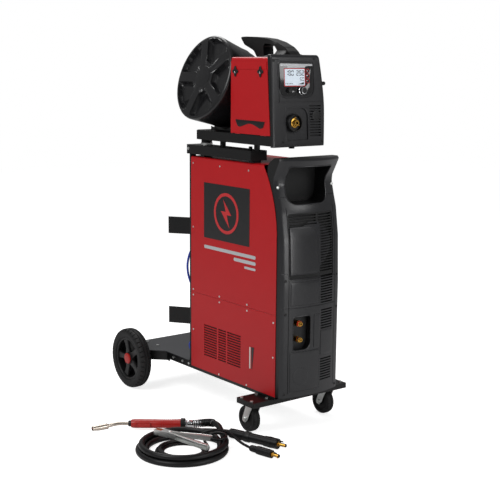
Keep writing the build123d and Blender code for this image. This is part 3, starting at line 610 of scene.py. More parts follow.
# ------------------------------------------------------------------ studio
@dataclass
class Studio:
    """The camera, the lights and the floor."""

    eye: Point = (-2.5486, -3.4071, 1.3515)
    yaw: float = 37.72
    pitch: float = 9.80
    roll: float = 0.45
    lens: float = 77.9
    sensor: float = 36.0
    aim: Point = (0.0, 0.0, 0.7)
    lamps: tuple[tuple[str, Point, float, float], ...] = (
        ("key_light", (-3.0, -0.4, 3.0), 1.9, 62.0), ("front_light", (1.4, -3.4, 2.2), 1.2, 20.0),
        ("strip_light", (0.1, -3.5, 0.7), 0.7, 14.0), ("rim_light", (0.4, 1.6, 3.4), 1.6, 45.0))
    room_strength: float = 0.26
    floor_lift: float = 0.76
    floor_half: float = 9000.0

    def camera(self) -> None:
        """Set the camera up."""
        data = bpy.data.cameras.new("camera")
        data.lens, data.sensor_width = self.lens, self.sensor
        camera = bpy.data.objects.new("camera", data)
        bpy.context.scene.collection.objects.link(camera)
        turn = turn_z(-self.yaw) @ Matrix.Rotation(math.radians(90 - self.pitch), 4, "X") @ turn_z(self.roll)
        camera.matrix_world = Matrix.Translation(self.eye) @ turn
        bpy.context.scene.camera = camera

    def light(self, name: str, place: Point, size: float, watts: float) -> None:
        """Add a soft square light that faces the machine.

        Args:
            name: the light's name.
            place: its centre, in metres.
            size: its side, in metres.
            watts: its power.
        """
        data = bpy.data.lights.new(name, "AREA")
        data.size, data.energy = size, watts
        lamp = bpy.data.objects.new(name, data)
        bpy.context.scene.collection.objects.link(lamp)
        way = Vector(self.aim) - Vector(place)
        lamp.matrix_world = Matrix.Translation(place) @ way.to_track_quat("-Z", "Y").to_matrix().to_4x4()

    def room(self) -> None:
        """Set up the dim room that lights the machine, and the white paper behind it."""
        world = bpy.data.worlds.new("studio")
        world.use_nodes = True
        tree = world.node_tree
        dim = tree.nodes["Background"]
        dim.inputs["Color"].default_value = WHITE
        dim.inputs["Strength"].default_value = self.room_strength
        # the paper behind the machine is brighter than the room that it mirrors
        paper = add_node(tree, "ShaderNodeBackground", {"Color": WHITE, "Strength": 1.0})
        seen = add_node(tree, "ShaderNodeLightPath")
        both = add_node(tree, "ShaderNodeMixShader", None,
                        {0: seen.outputs["Is Camera Ray"], 1: dim.outputs[0], 2: paper.outputs[0]})
        tree.links.new(both.outputs[0], tree.nodes["World Output"].inputs[0])
        bpy.context.scene.world = world
        bpy.context.scene.view_settings.view_transform = "Standard"

    def floor(self) -> None:
        """Lay the pale floor, lifted towards the paper's white."""
        half = self.floor_half
        slab = Draft().block((-half, half), (-half, half), (-20, 0)).object("floor")
        white = bpy.data.materials.new("pale_floor")
        white.use_nodes = True
        tree = white.node_tree
        shader = tree.nodes["Principled BSDF"]
        shader.inputs["Base Color"].default_value = (0.9, 0.9, 0.9, 1.0)
        shader.inputs["Roughness"].default_value = 0.8
        shader.inputs["Emission Color"].default_value = WHITE
        seen = add_node(tree, "ShaderNodeLightPath")
        lift = add_node(tree, "ShaderNodeMath", {1: self.floor_lift}, {0: seen.outputs["Is Camera Ray"]},
                        operation="MULTIPLY")
        tree.links.new(lift.outputs[0], shader.inputs["Emission Strength"])
        slab.data.materials.append(white)

    def build(self) -> None:
        """Build the whole studio."""
        self.camera()
        for lamp in self.lamps:
            self.light(*lamp)
        self.room()
        self.floor()
        log.info("studio: a camera, %d lights and the floor", len(self.lamps))


# ------------------------------------------------------------------ cords
def cord_curve(name: str, points: Sequence[Point], diameter_mm: float) -> bpy.types.Object:
    """Make a cord's one smooth spline.

    Args:
        name: the piece's name.
        points: the route's points, in metres.
        diameter_mm: the cord's diameter.

    Returns:
        The curve object.
    """
    curve = bpy.data.curves.new(name, "CURVE")
    curve.dimensions = "3D"
    spline = curve.splines.new("NURBS")
    spline.points.add(len(points) - 1)
    for point, place in zip(spline.points, points):
        point.co = (*place, 1.0)
    spline.order_u = 3
    spline.use_endpoint_u = True
    spline.resolution_u = 6
    curve.bevel_depth = diameter_mm / 2 * MM
    curve.bevel_resolution = 5
    curve.use_fill_caps = True
    piece = bpy.data.objects.new(name, curve)
    bpy.context.scene.collection.objects.link(piece)
    return piece


def centre_line(piece: bpy.types.Object) -> list[Vector]:
    """Find the points along a cord's spline.

    Args:
        piece: the cord's curve object.

    Returns:
        The points, in millimetres.
    """
    depth, piece.data.bevel_depth = piece.data.bevel_depth, 0.0
    bpy.context.view_layer.update()
    graph = bpy.context.evaluated_depsgraph_get()
    mesh = bpy.data.meshes.new_from_object(piece.evaluated_get(graph))
    line = [v.co / MM for v in mesh.vertices]
    bpy.data.meshes.remove(mesh)
    piece.data.bevel_depth = depth
    return line


@dataclass
class Cords:
    """The torch's cable and the earth lead, coiled on the floor."""

    torch_d: float = 22.0
    earth_d: float = 10.0
    torch_centre: tuple[float, float] = (-506.0, -386.0)
    earth_centre: tuple[float, float] = (-510.0, -394.0)
    torch_length: float = 2.93
    earth_length: float = 2.95
    # each cord's tail comes before its coil and its lead after it, and they repeat the CAD routes
    torch_tail: tuple[Point, ...] = ((-343.7, -216.9, 22), (-327.5, -230, 24), (-314, -249, 29), (-307, -273, 35),
                                     (-305, -300, 39.5), (-308, -327, 39.5), (-317, -352, 37))
    torch_lead: tuple[Point, ...] = ((-384, -264, 11.2), (-355, -273, 11.2), (-330, -291, 11.5), (-310, -316, 13),
                                     (-296, -346, 17), (-287, -376, 20))
    earth_tail: tuple[Point, ...] = ((-437, -461, 53), (-427, -474, 51.5), (-405, -482, 51), (-381, -476, 51),
                                     (-365, -456, 51), (-363, -431, 51), (-378, -411, 51), (-399, -399, 43),
                                     (-421, -393, 27))
    earth_lead: tuple[Point, ...] = ((-440, -345, 17), (-425, -358, 29), (-408, -373, 45), (-388, -389, 54),
                                     (-366, -406, 54), (-345, -424, 52), (-330, -446, 40), (-323, -471, 25),
                                     (-319, -500, 17), (-315, -534, 15))
    # where each coil starts, in degrees, and how many turns it has
    torch_wound: tuple[float, float] = (-8.0, 2.79)
    earth_wound: tuple[float, float] = (-14.0, 4.83)
    # turns done, with the radius and the height there
    torch_stops: tuple[Point, ...] = ((0.0, 160, 33), (0.2, 148, 30), (0.9, 146, 30), (1.15, 132, 12),
                                      (1.8, 130, 11), (2.05, 156, 11), (2.6, 158, 11), (2.9, 160, 11))
    earth_stops: tuple[Point, ...] = ((0.0, 92, 16), (0.3, 88, 14), (1.8, 80, 14), (2.2, 71, 5.2),
                                      (2.9, 72, 5.2), (3.9, 83, 5.2), (4.7, 96, 5.2), (4.9, 92, 12))
    lines: dict[str, list[Vector]] = field(default_factory=dict)

    def coil(self, centre: tuple[float, float], start: float, turns: float,
             shape: Callable[[float], tuple[float, float]]) -> list[Point]:
        """The points of a coil's turns, wound clockwise.

        Args:
            centre: the coil's middle.
            start: the first angle, in degrees.
            turns: how many turns.
            shape: gives the radius and height at a number of turns.

        Returns:
            The points, in millimetres.
        """
        per_turn = 16
        count = int(turns * per_turn)
        points = []
        for k in range(count + 1):
            done = turns * k / count
            radius, height = shape(done)
            angle = math.radians(start - 360 * done)
            points.append((centre[0] + radius * math.cos(angle), centre[1] + radius * math.sin(angle), height))
        return points

    def torch_turns(self, done: float) -> tuple[float, float]:
        """Radius and height of the torch cable: one turn on top, one inside, one outside."""
        return between(self.torch_stops, done)

    def earth_turns(self, done: float) -> tuple[float, float]:
        """Radius and height of the earth lead: two loose turns on top of the rest."""
        return between(self.earth_stops, done)

    def build(self) -> None:
        torch = ([*self.torch_tail] + self.coil(self.torch_centre, *self.torch_wound, self.torch_turns)
                 + [*self.torch_lead])
        piece = cord_curve("torch_cord", [tuple(c * MM for c in p) for p in torch], self.torch_d)
        self.lines["torch"] = centre_line(piece)
        dress(piece, "torch_set", CABLE_RUBBER, ("torch_cable", "torch_coil"))
        earth = ([*self.earth_tail] + self.coil(self.earth_centre, *self.earth_wound, self.earth_turns)
                 + [*self.earth_lead])
        piece = cord_curve("earth_cord", [tuple(c * MM for c in p) for p in earth], self.earth_d)
        self.lines["earth"] = centre_line(piece)
        dress(piece, "earth_set", CABLE_RUBBER, ("earth_cable", "earth_coil"))


def between(stops: Sequence[Sequence[float]], at: float) -> tuple[float, ...]:
    """Values that pass smoothly from stop to stop.

    Args:
        stops: rows of a position and its values, in order.
        at: the position.

    Returns:
        The values there.
    """
    for low, high in zip(stops, stops[1:]):
        if at <= high[0]:
            t = min(1.0, max(0.0, (at - low[0]) / (high[0] - low[0])))
            t = t * t * (3 - 2 * t)
            return tuple(a + (b - a) * t for a, b in zip(low[1:], high[1:]))
    return tuple(stops[-1][1:])


# ------------------------------------------------------------------ cart
@dataclass
class Cart:
    """The rolling base: frame, rear wheels, casters, platform and their bolts."""

    # the middles of the right wheel and the right caster; the left ones mirror them
    wheel: Point = (239.0, 389.0, 125.0)
    tyre_r: float = 125.0
    tyre_bore: float = 88.0
    tyre_width: float = 52.0
    lugs: int = 36
    caster: Point = (182.0, -352.0, 50.0)
    caster_r: float = 50.0
    caster_width: float = 34.0

    def axle(self, side: int) -> Matrix:
        """A placement on the rear axle whose +Z runs outward on one side."""
        return Matrix.Translation((side * self.wheel[0], *self.wheel[1:])) @ turn_y(90 * side)

    def tyre(self, side: int, body: str, node: str) -> None:
        """A tyre with rounded shoulders, two ring grooves and cross lugs.

        Args:
            side: 1 for the right, -1 for the left.
            body: its moving body.
            node: the frame node it stands for.
        """
        half, r = self.tyre_width / 2, self.tyre_r
        profile = [(self.tyre_bore, -half + 5), (96, -half + 0.4), (109, -half), (117, -half + 2.2),
                   (122, -half + 7), (r - 0.6, -half + 13), (r - 0.4, -9), (r - 3, -8), (r - 3, -6),
                   (r - 0.1, -5), (r - 0.1, 5), (r - 3, 6), (r - 3, 8), (r - 0.4, 9), (r - 0.6, half - 13),
                   (122, half - 7), (117, half - 2.2), (109, half), (96, half - 0.4),
                   (self.tyre_bore, half - 5)]
        place = self.axle(side)
        tread = Draft().turned(profile, place, 120, closed=True).object(f"{node}_tread")
        grooves = Draft()
        for k in range(self.lugs):
            for z in (-half - 2, half - 14):
                turn = place @ turn_z(360 * k / self.lugs + (5 if z > 0 else 0))
                grooves.block((114, r + 4), (-1.6, 1.6), (z, z + 16), turn)
        carve(tread, grooves)
        dress(tread, body, TREAD_RUBBER, (node,))
        bead = Draft().turned([(90, half - 3), (92, half - 0.6), (94, half - 0.2), (96, half - 0.8), (95, half - 3)],
                              place, 96, closed=True).object(f"{node}_bead")
        dress(bead, body, TREAD_RUBBER)

    def rim(self, side: int, body: str, node: str, cap: str) -> None:
        """A five-spoke rim with a dished web and its domed cap.

        Args:
            side: 1 for the right, -1 for the left.
            body: its moving body.
            node: the rim's frame node.
            cap: the cap's frame node.
        """
        place = self.axle(side)
        piece = Draft().turned([(80, -21.5), (87.8, -21.5), (87.8, -18), (84, -14), (84, 12), (87.8, 17),
                                (87.8, 20.6), (82, 20.8), (79.5, 17), (79.5, -17)], place, 96, closed=True)
        piece.turned([(10.3, -30.5), (24, -30.5), (26.5, -26), (26.8, 10), (25, 17.6), (10.3, 17.6)], place, 64,
                     closed=True)
        piece.turned([(24, -12), (50, -16), (83, -14), (83, -11.5), (50, -13.5), (24, -9.5)], place, 72, closed=True)
        for k in range(5):
            turn = place @ turn_z(90 + 72 * k)
            rings = []
            for r, half, low, high in ((22, 17, 2, 14.5), (45, 13, 3, 12.5), (65, 14, 5, 13), (82, 21, 6, 15)):
                rings.append([(r, -half, low), (r, half, low), (r, half * 0.8, high), (r, -half * 0.8, high)])
            piece.loft(rings, turn)
        body_piece = piece.object(f"{node}_moulding")
        soften(body_piece, 1.2, 2, 30)
        dress(body_piece, body, BLACK_NYLON, (node,))
        dome = Draft().turned([(0, 18.1), (22.6, 18.1), (22.9, 20), (22, 22.2), (18, 24.3), (10, 24.8),
                               (0, 25)], place, 64).object(f"{cap}_dome")
        dress(dome, body, RED_POLY, (cap,))

    def caster_wheel(self, side: int, body: str, node: str) -> None:
        """A caster's treaded wheel with its hub.

        Args:
            side: 1 for the right, -1 for the left.
            body: its moving body.
            node: the frame node it stands for.
        """
        place = Matrix.Translation((side * self.caster[0], *self.caster[1:])) @ turn_y(90)
        half, r = self.caster_width / 2, self.caster_r
        wheel = Draft().turned([(6.3, -half), (14, -half), (16, -half + 4), (34, -half + 5), (37, -half + 1),
                                (44, -half + 0.4), (48.5, -half + 4), (r, -half + 9), (r, -2), (r - 1.6, -1.4),
                                (r - 1.6, 1.4), (r, 2), (r, half - 9), (48.5, half - 4), (44, half - 0.4),
                                (37, half - 1), (34, half - 5), (16, half - 4), (14, half), (6.3, half)], place, 80,
                               closed=True).object(f"{node}_tread")
        grooves = Draft()
        for k in range(30):
            for low in (-half - 1, half - 9):
                grooves.block((46.5, r + 3), (-1.0, 1.0), (low, low + 10),
                              place @ turn_z(12 * k + (6 if low > 0 else 0)))
        carve(wheel, grooves)
        dress(wheel, body, TREAD_RUBBER, (node,))

    def caster_trim(self, side: int, fork: str) -> None:
        """The axle bolt's two heads on a caster's fork.

        Args:
            side: 1 for the right, -1 for the left.
            fork: the fork's moving body.
        """
        x, y, z = side * self.caster[0], *self.caster[1:]
        for s in (-1, 1):
            place = Matrix.Translation((x + s * 22, y, z)) @ turn_y(90 * s)
            bolt = Draft().turned([(0, 0.1), (9, 0.1), (9.6, 1.0), (9, 1.8), (0, 1.8)], place, 32)
            bolt.prism(hexagon(7.4), (1.5, 6), place)
            end = "outer" if s == side else "inner"
            dress(bolt.object(f"{fork}_bolt_{end}"), fork, ZINC_PLATE)

    def build(self) -> None:
        """Build and dress the whole cart."""
        for side, name in ((-1, "left"), (1, "right")):
            self.tyre(side, f"{name}_wheel", f"{name}_tyre")
            self.rim(side, f"{name}_wheel", f"{name}_rim", f"{name}_hub_cap")
            self.caster_wheel(side, f"{name}_caster", f"{name}_caster_wheel")
            self.caster_trim(side, f"{name}_fork")
        dress_nodes({"base_frame": BLACK_POWDER, "bottle_brackets": BLACK_POWDER, "feeder_rail": BLACK_POWDER,
                     "feeder_base": BLACK_POWDER, "caster_plates": ZINC_PLATE, "rear_platform": GREY_POWDER,
                     "rear_axle": ZINC_PLATE, "left_caster_fork": ZINC_PLATE, "right_caster_fork": ZINC_PLATE,
                     "fasteners": ZINC_PLATE, "feeder_pivot": ZINC_PLATE})


# ------------------------------------------------------------------ cabinet
# each level's height, the y of the casing's sides there, and how far its middle bows forward
CASING_LEVELS = ((145.5, -474, 24), (554, -476, 24), (729, -470, 24), (833, -455, 24), (879, -441, 25),
                 (925, -429, 28), (950, -432, 34), (988, -452, 46), (1012, -464, 50), (1020, -460, 48))

CASING_HALF_W = 140.0


def casing_y(x: float, z: float) -> float:
    """Find the y of the front casing's surface.

    Args:
        x: how far across, in millimetres.
        z: the height, in millimetres.

    Returns:
        The y, in millimetres.
    """
    z = min(max(z, CASING_LEVELS[0][0]), CASING_LEVELS[-1][0])
    low, high = next(pair for pair in zip(CASING_LEVELS, CASING_LEVELS[1:]) if z <= pair[1][0])
    t = (z - low[0]) / (high[0] - low[0])
    side = low[1] + (high[1] - low[1]) * t
    bow = low[2] + (high[2] - low[2]) * t
    return side - bow * (1 - (x / CASING_HALF_W) ** 2)


@dataclass
class Casing:
    """The moulded front of the power source, with its vents, panels, pocket and couplings."""

    half_w: float = CASING_HALF_W
    foot: float = CASING_LEVELS[0][0]
    pitch: float = 9.8
    slot: float = 4.9
    top_slot: float = 812.0
    # the foot and top of each block of slots, with the x of their ends
    vents: tuple[tuple[float, float, tuple[tuple[float, float], ...]], ...] = (
        (778, 813, ((-102, 16), (26, 95))), (598, 778, ((30, 95),)),
        (486, 590, ((30, 95),)), (389, 466, ((34, 95),)), (190, 282, ((34, 95),)))
    pocket: tuple[tuple[float, float], ...] = ((-106, 991), (-102, 852), (80, 852), (88, 991))
    recess: tuple[tuple[float, float], ...] = ((-92, 448), (-92, 320), (-16, 320), (-16, 448))
    couplings_z: tuple[tuple[str, float], ...] = (("out", 422), ("return", 363))
    # a flank is a face beyond this x, made black; a hollow is a face this far behind the surface, painted black as
    # painted shade
    flank_x: float = 136.0
    hollow: float = 4.2

    def pocket_mouth(self) -> Outline:
        """The rounded outline of the hand pocket."""
        return rounded(self.pocket, [10, 44, 44, 10], 10)

    def recess_mouth(self) -> Outline:
        """The rounded outline of the couplings' recess."""
        return rounded(self.recess, [10, 14, 44, 16], 10)

    def strip(self, x: tuple[float, float], z: tuple[float, float], out: float, inward: float,
              columns: int = 10) -> list[list[Point]]:
        """Rings of a slab that follows the casing's surface.

        Args:
            x: its two sides.
            z: its foot and top.
            out: how far it stands before the surface.
            inward: how far it reaches behind the surface.
            columns: the steps across it.

        Returns:
            One ring at each column.
        """
        rings = []
        for k in range(columns + 1):
            px = x[0] + (x[1] - x[0]) * k / columns
            rings.append([(px, casing_y(px, z[0]) - out, z[0]), (px, casing_y(px, z[1]) - out, z[1]),
                          (px, casing_y(px, z[1]) + inward, z[1]), (px, casing_y(px, z[0]) + inward, z[0])])
        return rings

    def patch(self, outline: Outline, out: float, inward: float) -> list[list[Point]]:
        """Two rings that carry an outline on the casing from before to behind its surface.

        Args:
            outline: the x, z points.
            out: how far the front ring stands before the surface.
            inward: how far the back ring lies behind it.

        Returns:
            The front and the back ring.
        """
        return [[(x, casing_y(x, z) - out, z) for x, z in outline],
                [(x, casing_y(x, z) + inward, z) for x, z in outline]]

    def curved(self, name: str, outline: Outline, out: float, inward: float, edge: float) -> bpy.types.Object:
        """A plate that follows the casing, with a rounded front edge.

        Args:
            name: the piece's name.
            outline: its x, z outline.
            out: how far it stands before the surface.
            inward: how deep its back goes.
            edge: the rounding of its front edge.

        Returns:
            The piece.
        """
        outline = dense(outline)
        centre = (sum(p[0] for p in outline) / len(outline), sum(p[1] for p in outline) / len(outline))
        layers = [(1.0, inward)] + [(1 - (1 - math.cos(a)) * edge / 55, -(out - edge) - edge * math.sin(a))
                                    for a in (math.radians(k * 18) for k in range(6))]
        rings = []
        for share, depth in layers:
            shrink = [(centre[0] + (x - centre[0]) * share, centre[1] + (z - centre[1]) * share) for x, z in outline]
            rings.append([(x, casing_y(x, z) + depth, z) for x, z in shrink])
        # the front is skinned in rows towards the middle so that it keeps the bow
        for share in (0.8, 0.6, 0.4, 0.2, 0.02):
            last = layers[-1][0] * share
            shrink = [(centre[0] + (x - centre[0]) * last, centre[1] + (z - centre[1]) * last) for x, z in outline]
            rings.append([(x, casing_y(x, z) - out, z) for x, z in shrink])
        return Draft().loft(rings).object(name)

    def shell(self) -> bpy.types.Object:
        """Loft the casing's body up its levels, with rounded side edges.

        Returns:
            The body.
        """
        rings = []
        brow, crown, back_y, columns = 993.4, 1014, -392.0, 32
        levels = [self.foot] + [150 + 10 * k for k in range(84)] + [brow, 1000, 1006, 1012, 1016, 1019, 1020]
        for z in levels:
            # above the brow the back leans forward under the handle bar
            back = back_y if z <= brow else back_y - 1.311 * (z - brow)
            back = min(back, casing_y(self.half_w, z) + 60)
            lean = 0.0 if z < crown else (z - crown) * 0.5
            row = []
            for k in range(columns + 1):
                a = -1 + 2 * k / columns
                x = (self.half_w - lean) * a
                edge = 7.0 * max(0.0, abs(a) - 0.93) / 0.07
                row.append((x, casing_y(x, z) + edge ** 2 / 9, z))
            row += [(self.half_w - lean, back, z), (-self.half_w + lean, back, z)]
            rings.append(row)
        return Draft().loft(rings).object("casing_moulding")

    def cut_vents(self, body: bpy.types.Object) -> None:
        """Cut the louvre rows, full width at the top and in a column on the right below.

        Args:
            body: the casing's body.
        """
        cutter = Draft()
        z = self.top_slot
        while z > self.vents[-1][0]:
            high = z + self.slot / 2
            for foot, top, spans in self.vents:
                for span in spans if foot < z < top else ():
                    cutter.loft(self.strip(span, (high - self.slot, high), 3, 12))
            z -= self.pitch
        carve(body, cutter)

    def cut_pocket(self, body: bpy.types.Object) -> None:
        """Cut the hand pocket behind the handle bar, and the recess of the couplings.

        Args:
            body: the casing's body.
        """
        foot, taper = self.pocket[1][1], 0.97
        mouth = dense(self.pocket_mouth())
        front = [(x, -520.0, z) for x, z in mouth]
        rear = [(x * taper, -393.5, foot + (z - foot) * taper + 3) for x, z in mouth]
        carve(body, Draft().loft([front, rear]))
        carve(body, Draft().loft(self.patch(dense(self.recess_mouth()), 4, 26)))

    def cut_seams(self, body: bpy.types.Object) -> None:
        """Cut the seams between the panels and the sunk field of the vents.

        Args:
            body: the casing's body.
        """
        sunk = rounded([(-108, 586), (-108, 822), (100, 822), (100, 586)], [4, 12, 12, 4], 6)
        carve(body, Draft().loft(self.patch(dense(sunk), 4, 2.4)))
        seams = Draft()
        for x, z in (((-112, 112), 583), ((-112, 112), 480), ((-140.5, -109), 608), ((-140.5, -109), 482),
                     ((-140.5, -95), 880), ((84, 140.5), 880)):
            seams.loft(self.strip(x, (z - 1.1, z + 1.1), 4, 3.2, 12))
        for x in (-110, 110):
            seams.loft([[(x - 1, casing_y(x, z) - 4, z), (x + 1, casing_y(x, z) - 4, z),
                         (x + 1, casing_y(x, z) + 2.6, z), (x - 1, casing_y(x, z) + 2.6, z)]
                        for z in [160 + 22 * k for k in range(32)]])
        carve(body, seams)

    def panels(self) -> None:
        """The smooth raised panels beside the vents."""
        shapes = {
            "upper_blank_panel": rounded([(-104, 602), (-104, 773), (22, 773), (22, 602)], [3, 5, 58, 3], 12),
            "middle_blank_panel": rounded([(-102, 489), (-102, 574), (24, 574), (24, 489)], [4, 4, 6, 6], 4),
            "lower_blank_panel": rounded([(-102, 166), (-102, 314), (27, 314), (27, 166)], [6, 3, 3, 6], 4),
            "narrow_blank_panel": rounded([(-1, 322), (-1, 448), (27, 448), (27, 322)], [3, 3, 3, 3], 3),
            "right_blank_panel": rounded([(33, 290), (33, 383), (98, 383), (98, 290)], [3, 3, 3, 3], 3),
        }
        for name, outline in shapes.items():
            dress(self.curved(name, outline, 1.4, 4, 1.2), "cart", GREY_ABS)
        trim = Draft()
        for name, radius in (("upper_blank_panel", 1.5), ("middle_blank_panel", 1.1), ("lower_blank_panel", 1.1)):
            trim.sweep([(x, casing_y(x, z) - 1.0, z) for x, z in dense(shapes[name], 5)], radius, 8, closed=True)
        dress(trim.object("blank_panel_lips"), "cart", GREY_ABS)
        disc = self.curved("round_blank", oval(34, 34, 48, (-58, 222)), 1.9, 2, 0.4)
        dress(disc, "cart", GREY_ABS)

    def lips(self) -> None:
        """The rolled rims of the pocket and of the couplings' recess."""
        for name, mouth, sunk, radius in (("pocket_lip", self.pocket_mouth(), 0.8, 2.3),
                                          ("recess_lip", self.recess_mouth(), 0.3, 1.7)):
            route = [(x, casing_y(x, z) + sunk, z) for x, z in dense(mouth, 5)]
            dress(Draft().sweep(route, radius, 10, closed=True).object(name), "cart", GREY_ABS)

    def screws(self) -> None:
        """The cross-head screws round the casing."""
        dark, bright = Draft(), Draft()
        for x, z in ((-122, 582), (-122, 459), (-122, 160), (122, 582), (122, 459), (122, 160)):
            place = along((x, casing_y(x, z) + 1.5, z), (x, casing_y(x, z) - 8, z))
            dark.turned([(2.2, -1), (5.2, -1), (5.6, 0.8), (4.6, 2.6), (2.6, 3.2), (1.4, 1.8), (0, 1.8)], place, 24)
        for x in (-127, 127):
            place = along((x, casing_y(x, 915) + 1.0, 915), (x, casing_y(x, 915) - 8, 915))
            bright.turned([(2.2, -1), (5.6, -1), (6, 0.8), (4.9, 2.8), (2.6, 3.4), (1.4, 1.9), (0, 1.9)], place, 24)
        dress(dark.object("casing_screws"), "cart", BLACK_NYLON)
        dress(bright.object("handle_screws"), "cart", ZINC_PLATE)

    def couplings(self) -> None:
        """The two coolant couplings with their knurled collars and hexagons."""
        for name, z in self.couplings_z:
            place = along((-69.5, -470, z), (-69.5, -508, z))
            piece = Draft().prism(hexagon(11), (2, 18), place)
            piece.turned([(4, 14), (7, 14), (7, 24), (9.4, 25), (9.6, 26), (9.6, 32), (8.8, 33), (7, 33.4), (7, 37),
                          (6.2, 37.9), (4, 37.9)], place, 48, closed=True)
            dress(piece.object(f"coolant_{name}_fitting"), "cart", BRASS)
            band = Draft().turned([(9.4, 26.4), (10.6, 26.4), (10.9, 27.2), (10.9, 31), (10.6, 31.8),
                                   (9.4, 31.8)], place, 48, closed=True)
            finish = RED_POLY if name == "out" else BLACK_NYLON
            dress(band.object(f"coolant_{name}_ring"), "cart", finish)

    def build(self) -> None:
        """Build and dress the casing."""
        body = self.shell()
        self.cut_seams(body)
        self.cut_vents(body)
        self.cut_pocket(body)
        dress(body, "cart", GREY_ABS, ("front_casing",), sharp=28)
        # faces deeper than the hollow depth, inside the slots, the pocket and the couplings' recess, are painted
        # black as painted shade; the flanks, faces at the casing's far sides, are made black too
        body.data.materials.append(SHOP.material(BLACK_NYLON))
        for face in body.data.polygons:
            x, y, z = (c / MM for c in face.center)
            flank = abs(face.normal.x) > 0.9 and abs(x) > self.flank_x
            if flank or y > casing_y(x, z) + self.hollow:
                face.material_index = 1
        self.panels()
        self.lips()
        self.screws()
        self.couplings()


@dataclass
class Cabinet:
    """The red sheet covers of the power source with their louvres, badge and level gauge."""

    side_x: float = 142.0
    first_row: float = 211.0
    rows: int = 13
    columns: tuple[tuple[float, float], ...] = ((-88.5, -2.4), (-148.5, -98.4), (-242.0, -156.8))

    def louvres(self, side: int) -> None:
        """Small rolled lips over the cooler panel's slots on one side.

        Args:
            side: 1 for the right, -1 for the left.
        """
        lips = Draft()
        x = side * (self.side_x + 0.4)
        for row in range(self.rows):
            z = self.first_row + 10 * row + 3.1
            for low, high in self.columns:
                lips.sweep([(x, low + 1.5 + (high - low - 3) * k / 6, z) for k in range(7)], 0.55, 8)
        dress(lips.object(f"{'right' if side > 0 else 'left'}_louvre_lips"), "cart", RED_ENAMEL)

    def screens(self) -> None:
        """The black mesh behind the slots, and its frame."""
        mesh = Draft()
        for side in (-1, 1):
            for y in range(-246, 6, 4):
                mesh.block((side * 138.6 - 0.5, side * 138.6 + 0.5), (y, y + 2.6), (200, 345))
            mesh.block((side * 137 - 0.6, side * 137 + 0.6), (-250, 8), (198, 347))
        dress(mesh.object("radiator_screens"), "cart", BLACK_NYLON)

    def badge(self) -> None:
        """A black square with a plain bolt in a ring, and stripes beside it."""
        x = -self.side_x - 0.1
        place = left_side(x)
        square = Draft().prism([(-292, 682), (-2, 682), (-2, 897), (-292, 897)], (0.0, 0.45), place)
        dress(square.object("side_decal_ground"), "cart", BLACK_INK)
        ring, middle = Draft(), (-147, 790)
        outer, inner = oval(78, 78, 72, middle), oval(66, 66, 72, middle)
        ring.loft([[(a[0], a[1], 0.5) for a in outer], [(a[0], a[1], 0.9) for a in outer],
                   [(a[0], a[1], 0.9) for a in inner], [(a[0], a[1], 0.5) for a in inner]], place, around=True)
        bolt = [(-128, 843), (-180, 785), (-151, 785), (-168, 736), (-114, 797), (-145, 797)]
        ring.prism(bolt, (0.5, 0.9), place)
        dress(ring.object("side_decal_mark"), "cart", RED_INK)
        bars = Draft()
        for low, high, z, tall in ((-330, -4, 640, 13), (-330, -196, 617, 13), (-330, -262, 597, 9)):
            outline = rounded([(low, z), (high, z), (high, z + tall), (low, z + tall)], [tall / 2] * 4, 4)
            bars.prism(outline, (0.1, 0.5), place)
        dress(bars.object("side_decal_stripes"), "cart", SILVER_INK)

    def gauge(self) -> None:
        """The coolant level strip and the wedge beside it."""
        place = left_side(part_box("left_cooler_panel")[0][0] / MM + 1.0)
        outline = rounded([(-303, 221), (-296, 221), (-296, 304), (-303, 304)], [3] * 4, 4)
        tube = Draft().prism(outline, (-1.5, 0.9), place)
        dress(tube.object("level_strip"), "cart", TANK_POLY)
        wedge = Draft().prism([(-325, 306), (-314, 221), (-311, 221), (-308, 306)], (1.2, 1.9), place)
        dress(wedge.object("level_scale"), "cart", BLACK_INK)

    def build(self) -> None:
        """Build and dress the cabinet."""
        dress_nodes({"top_cover": RED_ENAMEL, "left_cooler_panel": RED_ENAMEL, "right_cooler_panel": RED_ENAMEL,
                     "cabinet_chassis": GALVANISED, "water_couplings": BRASS, "power_module": ALUMINIUM,
                     "cooling_unit": ALUMINIUM, "cooling_fan": BLACK_NYLON, "mains_switch": BLACK_NYLON,
                     "rear_leads": BLUE_HOSE})
        for side in (-1, 1):
            self.louvres(side)
        self.screens()
        self.badge()
        self.gauge()


# ------------------------------------------------------------------ feeder
# the face leans back as it rises: where it starts, and how far it goes up and back
FACE_FOOT = (-436.0, 1060.0)
FACE_RISE = 318.0
FACE_LEAN = 18.0
FACE_PLACE = Matrix(((1, 0, 0, 0), (0, 0.0565, -0.9984, 0), (0, 0.9984, 0.0565, 0), (0, 0, 0, 1)))


def face_y(z: float) -> float:
    """The y of the feeder's face at a height."""
    return FACE_FOOT[0] + (z - FACE_FOOT[1]) / FACE_RISE * FACE_LEAN


def on_face(x: float, z: float) -> Matrix:
    """A placement on the feeder's leaning face whose +Z runs outward."""
    return Matrix.Translation((x, face_y(z), z)) @ FACE_PLACE


